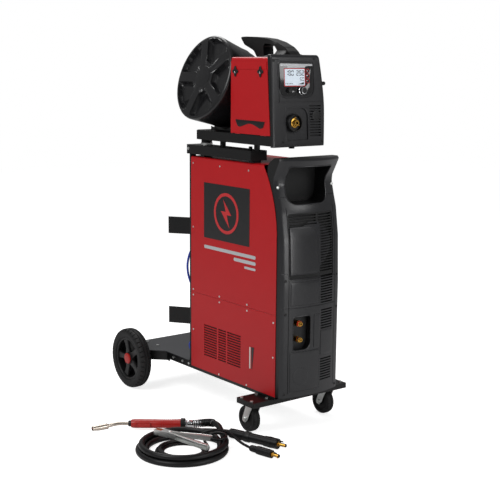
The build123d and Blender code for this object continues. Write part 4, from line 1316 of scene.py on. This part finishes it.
@dataclass
class Feeder:
    """The wire feeder: bezel, display, knobs, socket, door, latches and handle."""

    left: float = -150.0
    right: float = 94.0
    foot: float = 1057.0
    waist: float = 1200.0
    shoulder: float = 1368.0
    top: float = 1382.0
    foot_in: float = 5.0
    lean_in: float = 22.0
    corner: float = 9.0
    back: tuple[float, float] = (1096.0, 1373.0)
    panel: tuple[float, float] = (-38, 1294)
    keys: tuple[tuple[str, float], ...] = (("upper_key", 1325), ("middle_key", 1307), ("lower_key", 1289))
    key_x: float = 14
    encoder: tuple[float, float] = (-14, 1256)
    mode: tuple[float, float] = (-74, 1256)

    def bezel_row(self, z: float) -> list[Point]:
        """The points round the bezel at one level.

        Args:
            z: the level's height.

        Returns:
            The points, from the left along the front and back.
        """
        if z < self.waist:
            lean = self.foot_in * ((self.waist - z) / (self.waist - self.foot)) ** 1.5
        else:
            lean = self.lean_in * ((z - self.waist) / (self.top - self.waist)) ** 1.5
        rise = (z - self.shoulder) * self.corner / (self.top - self.shoulder)
        round_top = 0.0 if z < self.shoulder else self.corner - math.sqrt(max(0.0, self.corner ** 2 - rise ** 2))
        round_foot = 3.0 if z == self.foot else (1.0 if z < FACE_FOOT[1] else 0.0)
        front = face_y(z) + round_top + round_foot
        low, high = self.back
        back = -397.2 if z > high else (-420.0 if z < low else -419.4 + (z - low) / (high - low) * 22.2)
        back = max(back, front + 4)
        right = self.right - lean - round_top * 0.5
        left = self.left + round_top * 0.4
        row = [(left, front + 5, z), (left + 1.5, front + 1.6, z), (left + 5, front + 0.2, z)]
        row += [(left + 10 + (right - left - 20) * k / 10, front, z) for k in range(11)]
        return row + [(right - 5, front + 0.2, z), (right - 1.5, front + 1.6, z), (right, front + 5, z),
                      (right, back, z), (left, back, z)]

    def bezel(self) -> None:
        """The moulded front, with its socket recess and vents."""
        levels = [self.foot, 1058.5, 1062] + [1070 + 12 * k for k in range(25)] + [1366, 1372, 1376, 1379, 1381,
                                                                                  self.top]
        body = Draft().loft([self.bezel_row(z) for z in levels]).object("feeder_bezel_moulding")
        recess = rounded([(-91, 1080), (13, 1080), (13, 1197), (-91, 1197)], [6, 6, 40, 4], 10)
        carve(body, Draft().loft([[(x, -460, z) for x, z in recess],
                                  [(x * 0.97 - 1, face_y(z) + 3.9, z) for x, z in recess]]))
        cuts = Draft()
        for k in range(12):
            z = 1094 + 9.6 * k
            near, far = face_y(z) - 4, face_y(z) + 8
            cuts.loft([[(20, near, z), (74, near, z), (74, near, z + 4.6), (20, near, z + 4.6)],
                       [(20, far, z - 3), (74, far, z - 3), (74, far, z + 1.6), (20, far, z + 1.6)]])
        for x0, x1, z in ((-150.5, 95, 1216), (-150.5, -118, 1364)):
            cuts.block((x0, x1), (-460, face_y(z) + 2.2), (z - 0.9, z + 0.9))
        cuts.block((-119, -117.4), (-460, face_y(1290) + 1.2), (1216, 1364))
        carve(body, cuts)
        dress(body, "feeder", GREY_ABS, ("feeder_bezel",), sharp=30)
        rim = Draft().sweep([(x, face_y(z) + 0.8, z) for x, z in dense(recess, 5)], 1.5, 8, closed=True)
        dress(rim.object("socket_recess_lip"), "feeder", GREY_ABS)

    def from_panel(self, x: float, z: float) -> tuple[float, float]:
        """A point of the face, measured from the panel's middle."""
        return x - self.panel[0], z - self.panel[1]

    def film(self, place: Matrix, keys: Outline) -> None:
        """The panel's glossy film with wells for keys and knobs, its heading strip and its lip.

        Args:
            place: the panel's placement.
            keys: the keys' middles on it.
        """
        outline = rounded([(-78.5, -58.5), (78.5, -58.5), (78.5, 58.5), (-78.5, 58.5)], [38, 38, 8, 8], 10)
        film = Draft().prism(outline, (0.2, 2.05), place).object("control_panel_film")
        wells = Draft()
        for x, z, r in [(*key, 6.6) for key in keys] + [(*self.from_panel(*self.encoder), 8),
                                                        (*self.from_panel(*self.mode), 5)]:
            wells.turned([(0, -4), (r, -4), (r, 6), (0, 6)], place @ Matrix.Translation((x, z, 0)), 32)
        carve(film, wells)
        soften(film, 0.5, 2)
        dress(film, "feeder", PANEL_FILM, ("display_panel",))
        heading = rounded([(-74, 56), (-74, 49), (-46, 49), (-40, 43), (38, 43), (44, 49), (74, 49), (74, 56)],
                          [2, 2, 3, 3, 3, 3, 2, 2], 3)
        strip = Draft().prism(heading, (2.06, 2.3), place)
        dress(strip.object("panel_heading_strip"), "feeder", SILVER_INK)
        around = rounded([(-83, -64), (83, -64), (80, 63), (-83, 63)], [44, 44, 10, 10], 12)
        route = [tuple(place @ Vector((x, y, 0.4))) for x, y in dense(around, 5)]
        lip = Draft().sweep(route, 1.9, 8, closed=True)
        dress(lip.object("panel_lip"), "feeder", GREY_ABS)

    def screen(self, place: Matrix, keys: Outline) -> None:
        """The screen's red border and glass, and the red halos of the keys.

        Args:
            place: the panel's placement.
            keys: the keys' middles on it.
        """
        border = Draft()
        outer = rounded([(-58, -23), (40, -23), (40, 41), (-58, 41)], [4] * 4, 4)
        inner = rounded([(-55, -20), (37, -20), (37, 38), (-55, 38)], [2.5] * 4, 4)
        border.loft([[(x, z, h) for x, z in ring] for ring, h in
                     ((outer, 2.1), (outer, 2.5), (inner, 2.5), (inner, 2.1))], place, around=True)
        for x, z in keys:
            border.turned([(6.8, 2.1), (8.4, 2.1), (8.4, 2.45), (6.8, 2.45)],
                          place @ Matrix.Translation((x, z, 0)), 40, closed=True)
        dress(border.object("screen_border"), "feeder", RED_INK)
        glass = Draft().prism(inner, (2.06, 2.3), place)
        dress(glass.object("screen_glass"), "feeder", LCD_GLASS)

    def display(self) -> None:
        """The control panel with its film, screen and figures."""
        place = on_face(*self.panel)
        keys = [self.from_panel(self.key_x, z) for _, z in self.keys]
        self.film(place, keys)
        self.screen(place, keys)
        self.digits(place)

    def digits(self, place: Matrix) -> None:
        """Plain seven-segment figures and level bars on the screen.

        Args:
            place: the panel's placement.
        """
        lit = {0: "abcdef", 1: "bc", 2: "abged", 5: "afgcd", 8: "abcdefg"}
        ink = (2.32, 2.45)
        marks = Draft()

        def figure(cx: float, cz: float, h: float, number: int) -> None:
            """Draw one figure.

            Args:
                cx: its middle, across the panel.
                cz: its middle, up the panel.
                h: its height.
                number: which figure.
            """
            w, t = h * 0.52, h * 0.15
            spans = {"a": ((-w / 2, h / 2 - t), (w / 2, h / 2)), "g": ((-w / 2, -t / 2), (w / 2, t / 2)),
                     "d": ((-w / 2, -h / 2), (w / 2, -h / 2 + t)),
                     "f": ((-w / 2 - t / 2, t), (-w / 2 + t / 2, h / 2 - t)),
                     "b": ((w / 2 - t / 2, t), (w / 2 + t / 2, h / 2 - t)),
                     "e": ((-w / 2 - t / 2, -h / 2 + t), (-w / 2 + t / 2, -t)),
                     "c": ((w / 2 - t / 2, -h / 2 + t), (w / 2 + t / 2, -t))}
            for letter in lit[number]:
                (x0, z0), (x1, z1) = spans[letter]
                marks.block((cx + x0, cx + x1), (cz + z0, cz + z1), ink, place)

        for first, apart, cz, h, numbers in ((-46, 13.5, 24, 18, (1, 8, 0)), (4, 13, 24, 18, (2, 5, 2)),
                                             (19, 11, 2, 13, (5, 0))):
            for k, number in enumerate(numbers):
                figure(first + apart * k, cz, h, number)
        marks.prism([(6, -16), (33, -16), (33, -8)], ink, place)
        for k in range(5):
            marks.block((-52 + 7 * k, -48 + 7 * k), (-15, -12), ink, place)
        dress(marks.object("screen_figures"), "feeder", BLACK_INK)

    def knobs(self) -> None:
        """The large encoder with its bright ring, the small knob and the keys."""
        place = on_face(*self.encoder)
        grip = Draft().turned([(0, 2.4), (14, 2.4), (14.2, 3), (13.2, 12), (12.4, 14.6), (10.5, 15.9),
                               (7, 16.2), (0, 15.4)], place, 64)
        grip.ribs(24, (13.0, 14.6), (-0.6, 0.6), (4.2, 12.5), place)
        dress(grip.object("encoder_grip"), "encoder", BLACK_NYLON, ("encoder_knob",))
        ring = Draft().turned([(14.6, 2.3), (15.8, 2.4), (15.9, 4), (15.2, 5.2), (14.6, 5.4)], place, 64, closed=True)
        ring.turned([(10.4, 15.8), (12.2, 14.7), (12.4, 15.2), (10.6, 16.25)], place, 64, closed=True)
        dress(ring.object("encoder_ring"), "encoder", CHROME)
        place = on_face(*self.mode)
        small = Draft().turned([(0, 2.4), (9.4, 2.4), (9.6, 3), (8.6, 10.6), (7.4, 12), (0, 12.2)], place, 48)
        small.block((-0.8, 0.8), (2.5, 9.2), (11.6, 12.3), place)
        dress(small.object("mode_grip"), "mode", BLACK_NYLON, ("mode_knob",))
        for body, z in self.keys:
            place = on_face(self.key_x, z)
            key = Draft().turned([(0, 2.0), (5.4, 2.0), (5.4, 3.4), (5.0, 4.0), (3.6, 4.2), (0, 3.9)], place, 40)
            dress(key.object(f"{body}_cap"), body, CHROME)

    def socket(self) -> None:
        """The torch socket's flanged ring with its notches and brass core."""
        place = on_face(-55, 1142)
        ring = Draft().turned([(26.2, -3.8), (32.8, -3.8), (32.8, 10), (31.5, 13.6), (29.5, 14.8),
                               (27.4, 14.6), (26.2, 13)], place, 72, closed=True)
        ring.ribs(12, (32.2, 33), (-2.2, 2.2), (-2, 9), place)
        dress(ring.object("torch_socket_ring"), "feeder", BLACK_NYLON, ("torch_socket",))
        core = Draft().turned([(5.0, -16), (14, -16), (14, 5), (16.4, 5.2), (16.6, 7), (12.6, 8), (12.2, 13),
                               (10.6, 14), (10.4, 19), (9.6, 19.9), (5.0, 19.9)], place, 64, closed=True)
        for k in range(3):
            angle = math.radians(90 + 120 * k)
            at = place @ Matrix.Translation((20.5 * math.cos(angle), 20.5 * math.sin(angle), 0))
            core.turned([(0, -3), (2.2, -3), (2.2, 9), (1.4, 10.6), (0, 10.8)], at, 20)
        dress(core.object("torch_socket_core"), "feeder", BRASS)
        floor = Draft().turned([(14.8, -4), (26.4, -4), (26.4, 4.6), (14.8, 4.6)], place, 64, closed=True)
        dress(floor.object("torch_socket_floor"), "feeder", BLACK_NYLON)
        plug = Draft().turned([(0, -3), (19, -3), (19.4, 0.4), (18, 1.4), (15, 1.6), (14, 0.8), (0, 1.0)],
                              on_face(53, 1167), 56)
        dress(plug.object("blanking_plug"), "feeder", BLACK_NYLON)
        stem = along((84, -418, 1281), (101, -418, 1281))
        knob = Draft().turned([(0, 0), (3.4, 0), (3.4, 5), (6.4, 6), (7, 8), (7, 13), (5.6, 15.4), (0, 16)], stem, 36)
        dress(knob.object("side_purge_button"), "feeder", BLACK_NYLON)
        edge = [(face_y(1062) + 5.2, 1062), (face_y(1370) + 5.2, 1370), (-399, 1380), (-399, 1374),
                (-419, 1098), (-419, 1062)]
        side = Draft().prism(edge, (0.0, 0.5), left_side(self.left))
        dress(side.object("bezel_side_strip"), "feeder", BLACK_NYLON)

    def screws(self) -> None:
        """The screws of the bezel."""
        heads = Draft()
        for x, z in ((-140, 1362), (46, 1368), (-104, 1076), (80, 1074)):
            heads.turned([(0, -0.5), (4.6, -0.5), (4.7, 0.8), (3.4, 1.9), (1.4, 2.1), (1.0, 1.1), (0, 1.1)],
                         on_face(x, z), 24)
        dress(heads.object("bezel_screws"), "feeder", BLACK_NYLON)

    def latch(self, name: str, y: float) -> None:
        """A lobed latch with a bright button.

        Args:
            name: the latch's body, without its last word.
            y: its place along the door.
        """
        place = Matrix.Translation((-152.6, y, 1318)) @ turn_y(-90)
        lobes, steps = [], 90
        for k in range(steps):
            a = 2 * math.pi * k / steps
            r = 15.4 + 4.2 * math.cos(4 * a)
            lobes.append((4 + r * math.cos(a), r * 0.86 * math.sin(a)))
        body = Draft().loft([[(x * share, across * share, h) for x, across in lobes] for share, h in
                             ((0.9, 0.05), (1.0, 0.8), (0.98, 2.6), (0.86, 3.5), (0.6, 3.7))], place)
        body.prism(rounded([(10, -6), (19, -4), (19, 4), (10, 6)], [1, 2, 2, 1], 3), (0.05, 1.8), place)
        dress(body.object(f"{name}_latch_wing"), f"{name}_catch", BLACK_NYLON, (f"{name}_latch",))
        button = Draft().turned([(0, 3.4), (3.4, 3.4), (3.6, 4.2), (2.8, 5.1), (0, 5.3)], place, 40)
        dress(button.object(f"{name}_latch_button"), f"{name}_catch", CHROME)

    def door(self) -> None:
        """The finger grip on the door."""
        outline = [(-214, 1149), (-392, 1147), (-380, 1124), (-362, 1120), (-304, 1139), (-246, 1122), (-230, 1124)]
        shape = rounded(outline, [4, 4, 10, 10, 60, 10, 10], 8)
        grip = Draft().prism(shape, (0.0, 1.0), left_side(-152.32)).object("door_finger_grip")
        soften(grip, 0.4, 2)
        dress(grip, "door", BLACK_NYLON)

    def handle(self) -> None:
        """The carrying handle, an arched bar with a finger gap and flared foot."""
        side = rounded([(-114, 1448), (-150, 1449), (-215, 1446), (-275, 1440), (-330, 1427), (-375, 1409),
                        (-398, 1393), (-411, 1378), (-411, 1374.5), (-306, 1374.5), (-214, 1374.5),
                        (-196, 1398), (-140, 1419)], [6, 60, 90, 90, 90, 60, 30, 3, 2, 8, 8, 30, 30], 6)
        place = Matrix(((0, 0, 1, 0), (1, 0, 0, 0), (0, 1, 0, 0), (0, 0, 0, 1)))
        bar = Draft().prism(side, (-55, -8), place).object("feeder_handle_bar")
        gap = rounded([(-332, 1384), (-332, 1398), (-318, 1412), (-292, 1420), (-262, 1423), (-252, 1414),
                       (-256, 1377), (-300, 1377), (-328, 1377)], [8, 12, 14, 20, 8, 10, 10, 6, 6], 5)
        carve(bar, Draft().prism(gap, (-80, 20), place))
        soften(bar, 7.0, 5, 50)
        dress(bar, "feeder", BLACK_NYLON, ("feeder_handle",), sharp=60)
        foot = rounded([(-100, -397), (-100, -300), (40, -300), (40, -397)], [14, 20, 20, 14], 6)
        flare = Draft().loft([[(x, y, 1374.2) for x, y in foot],
                              [(x * 0.96 - 1, -346 + (y + 346) * 0.97, 1377.5) for x, y in foot],
                              [(-30 + (x + 30) * 0.5, -350 + (y + 350) * 0.86, 1386) for x, y in foot],
                              [(-30 + (x + 30) * 0.36, -352 + (y + 352) * 0.8, 1397) for x, y in foot]]
                             ).object("feeder_handle_flare")
        carve(flare, Draft().prism(gap, (-80, 20), place))
        soften(flare, 1.5, 2, 30)
        dress(flare, "feeder", BLACK_NYLON)

    def build(self) -> None:
        """Build and dress the feeder."""
        dress_nodes({"feeder_shell": RED_ENAMEL, "feeder_door": RED_ENAMEL, "wire_drive": ALUMINIUM,
                     "drive_roll": ZINC_PLATE, "pressure_arm": ZINC_PLATE, "wire_spool": SPOOL_WIRE,
                     "upper_button": BLACK_NYLON, "middle_button": BLACK_NYLON, "lower_button": BLACK_NYLON})
        self.bezel()
        self.display()
        self.knobs()
        self.socket()
        self.screws()
        self.latch("rear", -215)
        self.latch("front", -362)
        self.door()
        self.handle()


# ------------------------------------------------------------------ drum
@dataclass
class Drum:
    """The tilted wire drum, whose moulded cover has a five-armed star."""

    centre: Point = (-156.0, -13.0, 1298.0)
    tilt: float = 108.0
    radius: float = 165.0
    arm: float = 46.0
    hub: float = 62.0
    depth: float = 15.0

    def place(self) -> Matrix:
        """The drum's placement, whose +Z runs into the drum."""
        return Matrix.Translation(self.centre) @ turn_y(self.tilt)

    def pocket(self, k: int, inner: float, outer: float, side: float) -> Outline:
        """The outline of the hollow between two arms.

        Args:
            k: which hollow.
            inner: its inner radius.
            outer: its outer radius.
            side: how far its sides keep from each arm's middle.

        Returns:
            The rounded outline.
        """
        first, half = 18, 36
        middle = math.radians(first + half + 2 * half * k)
        spread_in = math.radians(half) - math.asin(side / inner)
        spread_out = math.radians(half) - math.asin(side / outer)
        points = [(inner * math.cos(middle - spread_in), inner * math.sin(middle - spread_in))]
        arc = [(outer * math.cos(middle + spread_out * s), outer * math.sin(middle + spread_out * s))
               for s in (-1, -0.6, -0.2, 0.2, 0.6, 1)]
        points += arc + [(inner * math.cos(middle + spread_in), inner * math.sin(middle + spread_in))]
        return rounded(points, [8, 16, 40, 40, 40, 40, 16, 8], 6)

    def build(self) -> None:
        """Build and dress the drum's cover."""
        place = self.place()
        r = self.radius
        profile = [(0, -0.4), (128, -0.4), (150, 0.2), (157, 0.9), (161.5, 2.6), (164.3, 5.6), (r, 9.5), (164.2, 22),
                   (160.2, 70), (156.6, 120), (157.4, 124), (157.4, 131), (153.6, 131.8), (153.2, 126), (159.4, 24),
                   (157, 20), (0, 19)]
        cover = Draft().turned(profile, place, 144).object("drum_cover_moulding")
        cutter = Draft()
        for k in range(5):
            wide = self.pocket(k, self.hub, 153, self.arm / 2 - 4)
            deep = self.pocket(k, self.hub + 7, 144, self.arm / 2 + 3)
            cutter.loft([[(x, y, -3) for x, y in wide], [(x, y, 1.0) for x, y in wide],
                         [(x, y, self.depth) for x, y in deep]], place)
        carve(cover, cutter)
        soften(cover, 2.0, 3, 40)
        dress(cover, "drum_cover", DRUM_ABS, ("spool_cover",), sharp=40)
        boss = Draft().turned([(0, -2.0), (40, -2.0), (43, -1.6), (44, -0.3), (44, 2), (0, 2)], place, 96)
        dress(boss.object("drum_boss"), "drum_cover", DRUM_ABS)
        dress_nodes({"spool_housing": DRUM_ABS})


# ------------------------------------------------------------------ torch and clamp
@dataclass
class Torch:
    """The welding torch on the floor, with its neck, nozzle and sleeve."""

    at: Point = (-528.0, -76.0, 22.0)
    turn: float = -37.4
    plug_at: Point = (-287, -376, 20)
    plug_turn: float = -71.3
    body: str = "torch_set"

    def place(self) -> Matrix:
        """The torch's placement, its handle along +X."""
        return Matrix.Translation(self.at) @ turn_z(self.turn)

    def handle(self) -> None:
        """The grip, lofted in ovals with a swollen back and a finger stop."""
        place = self.place()
        rings = []
        for x, wide, up, drop in ((0.5, 11, 11, 0), (2, 15, 14.5, 0), (8, 17, 16, 0), (20, 17.6, 16.6, 0),
                                  (60, 17.2, 16.6, 0), (84, 16.8, 16.4, 0), (92, 17.6, 16.6, 0.6),
                                  (104, 17.2, 16.2, 0.4), (140, 16.4, 16, 0), (172, 17, 16.8, 0),
                                  (184, 17.8, 17.6, 0), (188, 17.8, 17.6, 0)):
            rings.append([(x, -drop + wide * math.cos(2 * math.pi * k / 40), up * math.sin(2 * math.pi * k / 40))
                          for k in range(40)])
        grip = Draft().loft(rings, place).object("torch_grip")
        carve(grip, Draft().block((24, 76), (-27, -11), (-7, 7), place))
        grooves = Draft()
        for x in (112, 120, 128, 136, 144, 152):
            grooves.turned([(15.6, -0.9), (19.5, -0.9), (19.5, 0.9), (15.6, 0.9)],
                           place @ Matrix.Translation((x, 0, 0)) @ turn_y(90), 48, closed=True)
        carve(grip, grooves)
        dress(grip, self.body, RED_POLY, ("torch_handle",))
        turned = place @ turn_y(90)
        collar = Draft().turned([(11.4, 186), (19.4, 186), (20.8, 188), (20.8, 201), (19.6, 203.6),
                                 (11.4, 203.8)], turned, 48, closed=True)
        collar.ribs(16, (20.2, 20.95), (-1.3, 1.3), (189, 200), turned)
        dress(collar.object("torch_collar"), self.body, BLACK_NYLON)
        sleeve = Draft().turned([(11.3, 203), (13.4, 203), (13.9, 205), (12.6, 206.4), (13.9, 208),
                                 (12.6, 209.6), (13.9, 211), (12.6, 212.6), (13.9, 214), (13.9, 226),
                                 (13.2, 229), (11.3, 231.6)], turned, 48, closed=True)
        dress(sleeve.object("torch_sleeve"), self.body, CHROME)
        head = Draft().turned([(7.2, -9), (10.6, -9), (11.2, -7.6), (11.2, -1), (13, 0.6), (13.4, 2.4),
                               (7.2, 2.4)], turned, 48, closed=True)
        dress(head.object("torch_neck_collar"), self.body, BLACK_NYLON)

    def neck(self) -> None:
        """The bent neck with its insulator, conical nozzle and contact tip."""
        place = self.place()
        bend = [(0, 0, 0), (-20, 0, 0), (-38, -0.4, -0.1), (-50, -2.8, -0.6), (-60, -6.4, -1.3), (-72, -12, -2.4),
                (-84, -18.9, -3.6)]
        tube = Draft().sweep([tuple(place @ Vector(p)) for p in bend], 6.9, 28)
        dress(tube.object("torch_neck_tube"), self.body, NECK_NICKEL, ("torch_neck",))
        nozzle_place = place @ Matrix.Translation((-84, -18.8, -4)) @ turn_z(30.5) @ turn_y(-90)
        nozzle = Draft().turned([(7.6, -1), (9.6, -1), (10.8, 0.4), (10.9, 6), (10.2, 6.8), (10.2, 8.4), (10.9, 9.2),
                                 (10.9, 38), (8.9, 56), (8.7, 61.4), (8.2, 61.9), (7.1, 61.9), (6.9, 56), (8.6, 38),
                                 (8.6, 14), (7.6, 12)], nozzle_place, 56, closed=True)
        dress(nozzle.object("torch_nozzle"), self.body, NECK_NICKEL)
        tip = Draft().turned([(0, 6), (8.4, 6), (8.4, 13), (4.4, 22), (4.2, 48), (3.2, 55), (0.9, 56),
                              (0.7, 59.5), (0, 59.5)], nozzle_place, 40)
        dress(tip.object("torch_contact_tip"), self.body, COPPER)

    def spring(self, line: list[Vector]) -> None:
        """The steel spring over the cable's first stretch.

        Args:
            line: the cable's centre line.
        """
        reach, turns, per_turn, coil_r = 92.0, 13, 20, 13.4
        points, travelled = [], 0.0
        samples: list[tuple[Vector, float]] = []
        for a, b in zip(line, line[1:]):
            samples.append((a, travelled))
            travelled += (b - a).length
            if travelled > reach:
                break
        count = turns * per_turn
        for k in range(count + 1):
            at = reach * k / count
            i = max(n for n, s in enumerate(samples) if s[1] <= at)
            a, b = line[i], line[i + 1]
            way = (b - a).normalized()
            here = a + way * (at - samples[i][1])
            side = way.cross(Vector((0, 0, 1))).normalized()
            up = side.cross(way)
            turn = 2 * math.pi * k / per_turn
            points.append(here + (side * math.cos(turn) + up * math.sin(turn)) * coil_r)
        dress(Draft().sweep(points, 1.7, 8).object("cable_spring"), self.body, BLACK_NYLON)
        middle = [a for a, _ in samples]
        dress(Draft().sweep(middle, 11.7, 28).object("cable_spring_liner"), self.body, ALUMINIUM)

    def plug(self) -> None:
        """Rings, ribs and brass pins over the torch's plug."""
        place = Matrix.Translation(self.plug_at) @ turn_z(self.plug_turn) @ turn_y(90)
        rings = Draft()
        for k in range(9):
            z = 8 + 5.2 * k
            rings.turned([(15.5, z), (17.8, z + 0.6), (17.8, z + 2.4), (15.5, z + 3)], place, 40, closed=True)
        rings.turned([(16, 62), (18.6, 63), (19.4, 66), (19.4, 84), (18.6, 87), (16, 88)], place, 48, closed=True)
        rings.ribs(20, (19.0, 19.8), (-1.1, 1.1), (168, 178), place)
        dress(rings.object("torch_plug_rings"), self.body, BLACK_NYLON)
        pin = Draft().turned([(6.02, 204), (8.5, 204.4), (8.5, 207), (6.3, 207.6), (6.3, 236), (5.6, 237.8),
                              (0, 238)], place, 40)
        dress(pin.object("torch_plug_pin"), self.body, BRASS)

    def build(self, line: list[Vector]) -> None:
        """Build and dress the torch.

        Args:
            line: its cable's centre line.
        """
        self.handle()
        self.neck()
        self.spring(line)
        self.plug()
        dress_nodes({"torch_trigger": RED_POLY, "torch_plug": CABLE_RUBBER})


@dataclass
class EarthSet:
    """The earth clamp's pads, spring and pin, and the earth plug's trim."""

    at: Point = (-524.0, -334.0, 0.0)
    turn: float = -69.0
    low: float = 44.3
    high: float = 62.0
    plug_at: Point = (-315, -534, 15)
    plug_turn: float = -77.3

    def place(self) -> Matrix:
        """The clamp's placement, its handles along +X."""
        return Matrix.Translation(self.at) @ turn_z(self.turn)

    def half(self, side: int, name: str, body: str, reach: float) -> None:
        """The copper pad and the rolled lips of one half of the clamp.

        Args:
            side: 1 for the fixed half, -1 for the moving one.
            name: how its pieces' names start.
            body: its moving body.
            reach: how far its handle goes.
        """
        place = self.place()
        pad = Draft().prism(rounded([(-60, side * 1.2), (-34, side * 1.2), (-32, side * 8), (-60, side * 8)],
                                    [0.5, 1, 2, 2], 3), (self.low - 0.5, self.high + 0.5), place)
        for k in range(5):
            pad.block((-57 + 5 * k, -55 + 5 * k), (min(side * 0.5, side * 1.6), max(side * 0.5, side * 1.6)),
                      (self.low, self.high), place)
        dress(pad.object(f"{name}_jaw_pad"), body, COPPER)
        edge = [(34, side * 17.2), (reach - 38, side * 42.2), (reach - 2, side * 46.8)]
        for tag, z in (("low", self.low + 0.4), ("high", self.high - 0.4)):
            lip = Draft().sweep([tuple(place @ Vector((x, y, z))) for x, y in edge], 1.0, 8)
            dress(lip.object(f"{name}_arm_{tag}_lip"), body, ZINC_PLATE)

    def pivot(self) -> None:
        """The clamp's rivet and the spring round it."""
        place = self.place()
        rivet = Draft().turned([(0, self.high + 0.8), (6.4, self.high + 0.8), (6.2, self.high + 2.2),
                                (4, self.high + 3.3), (0, self.high + 3.6)], place, 40)
        dress(rivet.object("clamp_rivet"), "earth_set", ZINC_PLATE)
        # five turns of wire, as an angle, that keep clear of both plates
        wound, steps, coil_r, clear = 31.4, 160, 9.0, 4.2
        climb = self.high - self.low - 2 * clear
        coil = [place @ Vector((coil_r * math.cos(t), coil_r * math.sin(t), self.low + clear + climb * t / wound))
                for t in (k * wound / steps for k in range(steps + 1))]
        dress(Draft().sweep(coil, 1.1, 8).object("clamp_spring"), "earth_set", ZINC_PLATE)

    def plug(self) -> None:
        """Rings, ribs and a brass pin over the earth plug."""
        plug = Matrix.Translation(self.plug_at) @ turn_z(self.plug_turn) @ turn_y(90)
        rings = Draft()
        for k in range(4):
            z = 6 * k
            rings.turned([(10.4, 3 + z), (11.9, 4 + z), (11.9, 6 + z), (10.4, 7 + z)], plug, 36, closed=True)
        rings.ribs(14, (14.1, 14.95), (-1.2, 1.2), (36, 84), plug)
        dress(rings.object("earth_plug_ribs"), "earth_set", BLACK_NYLON)
        pin = Draft().turned([(6.02, 94), (8.6, 94.3), (8.6, 98), (6.3, 98.6), (6.3, 124), (5.2, 125.8),
                              (0, 126)], plug, 40)
        pin.block((5.6, 8.4), (-1.8, 1.8), (116, 122), plug)
        dress(pin.object("earth_plug_pin"), "earth_set", BRASS)

    def build(self) -> None:
        """Build and dress the clamp's and the plug's fittings."""
        self.half(1, "fixed", "earth_set", 150)
        self.half(-1, "moving", "clamp_arm", 188)
        self.pivot()
        self.plug()
        dress_nodes({"clamp_upper": ZINC_PLATE, "clamp_lower": ZINC_PLATE, "earth_plug": CABLE_RUBBER})


# ------------------------------------------------------------------ all together
def main() -> None:
    """Build the studio, then every sub-assembly."""
    logging.basicConfig(level=logging.INFO, format="%(message)s")
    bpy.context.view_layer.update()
    Studio().build()
    cords = Cords()
    cords.build()
    Cart().build()
    Cabinet().build()
    Casing().build()
    Feeder().build()
    Drum().build()
    Torch().build(cords.lines["torch"])
    EarthSet().build()


if __name__ == "__main__":
    main()
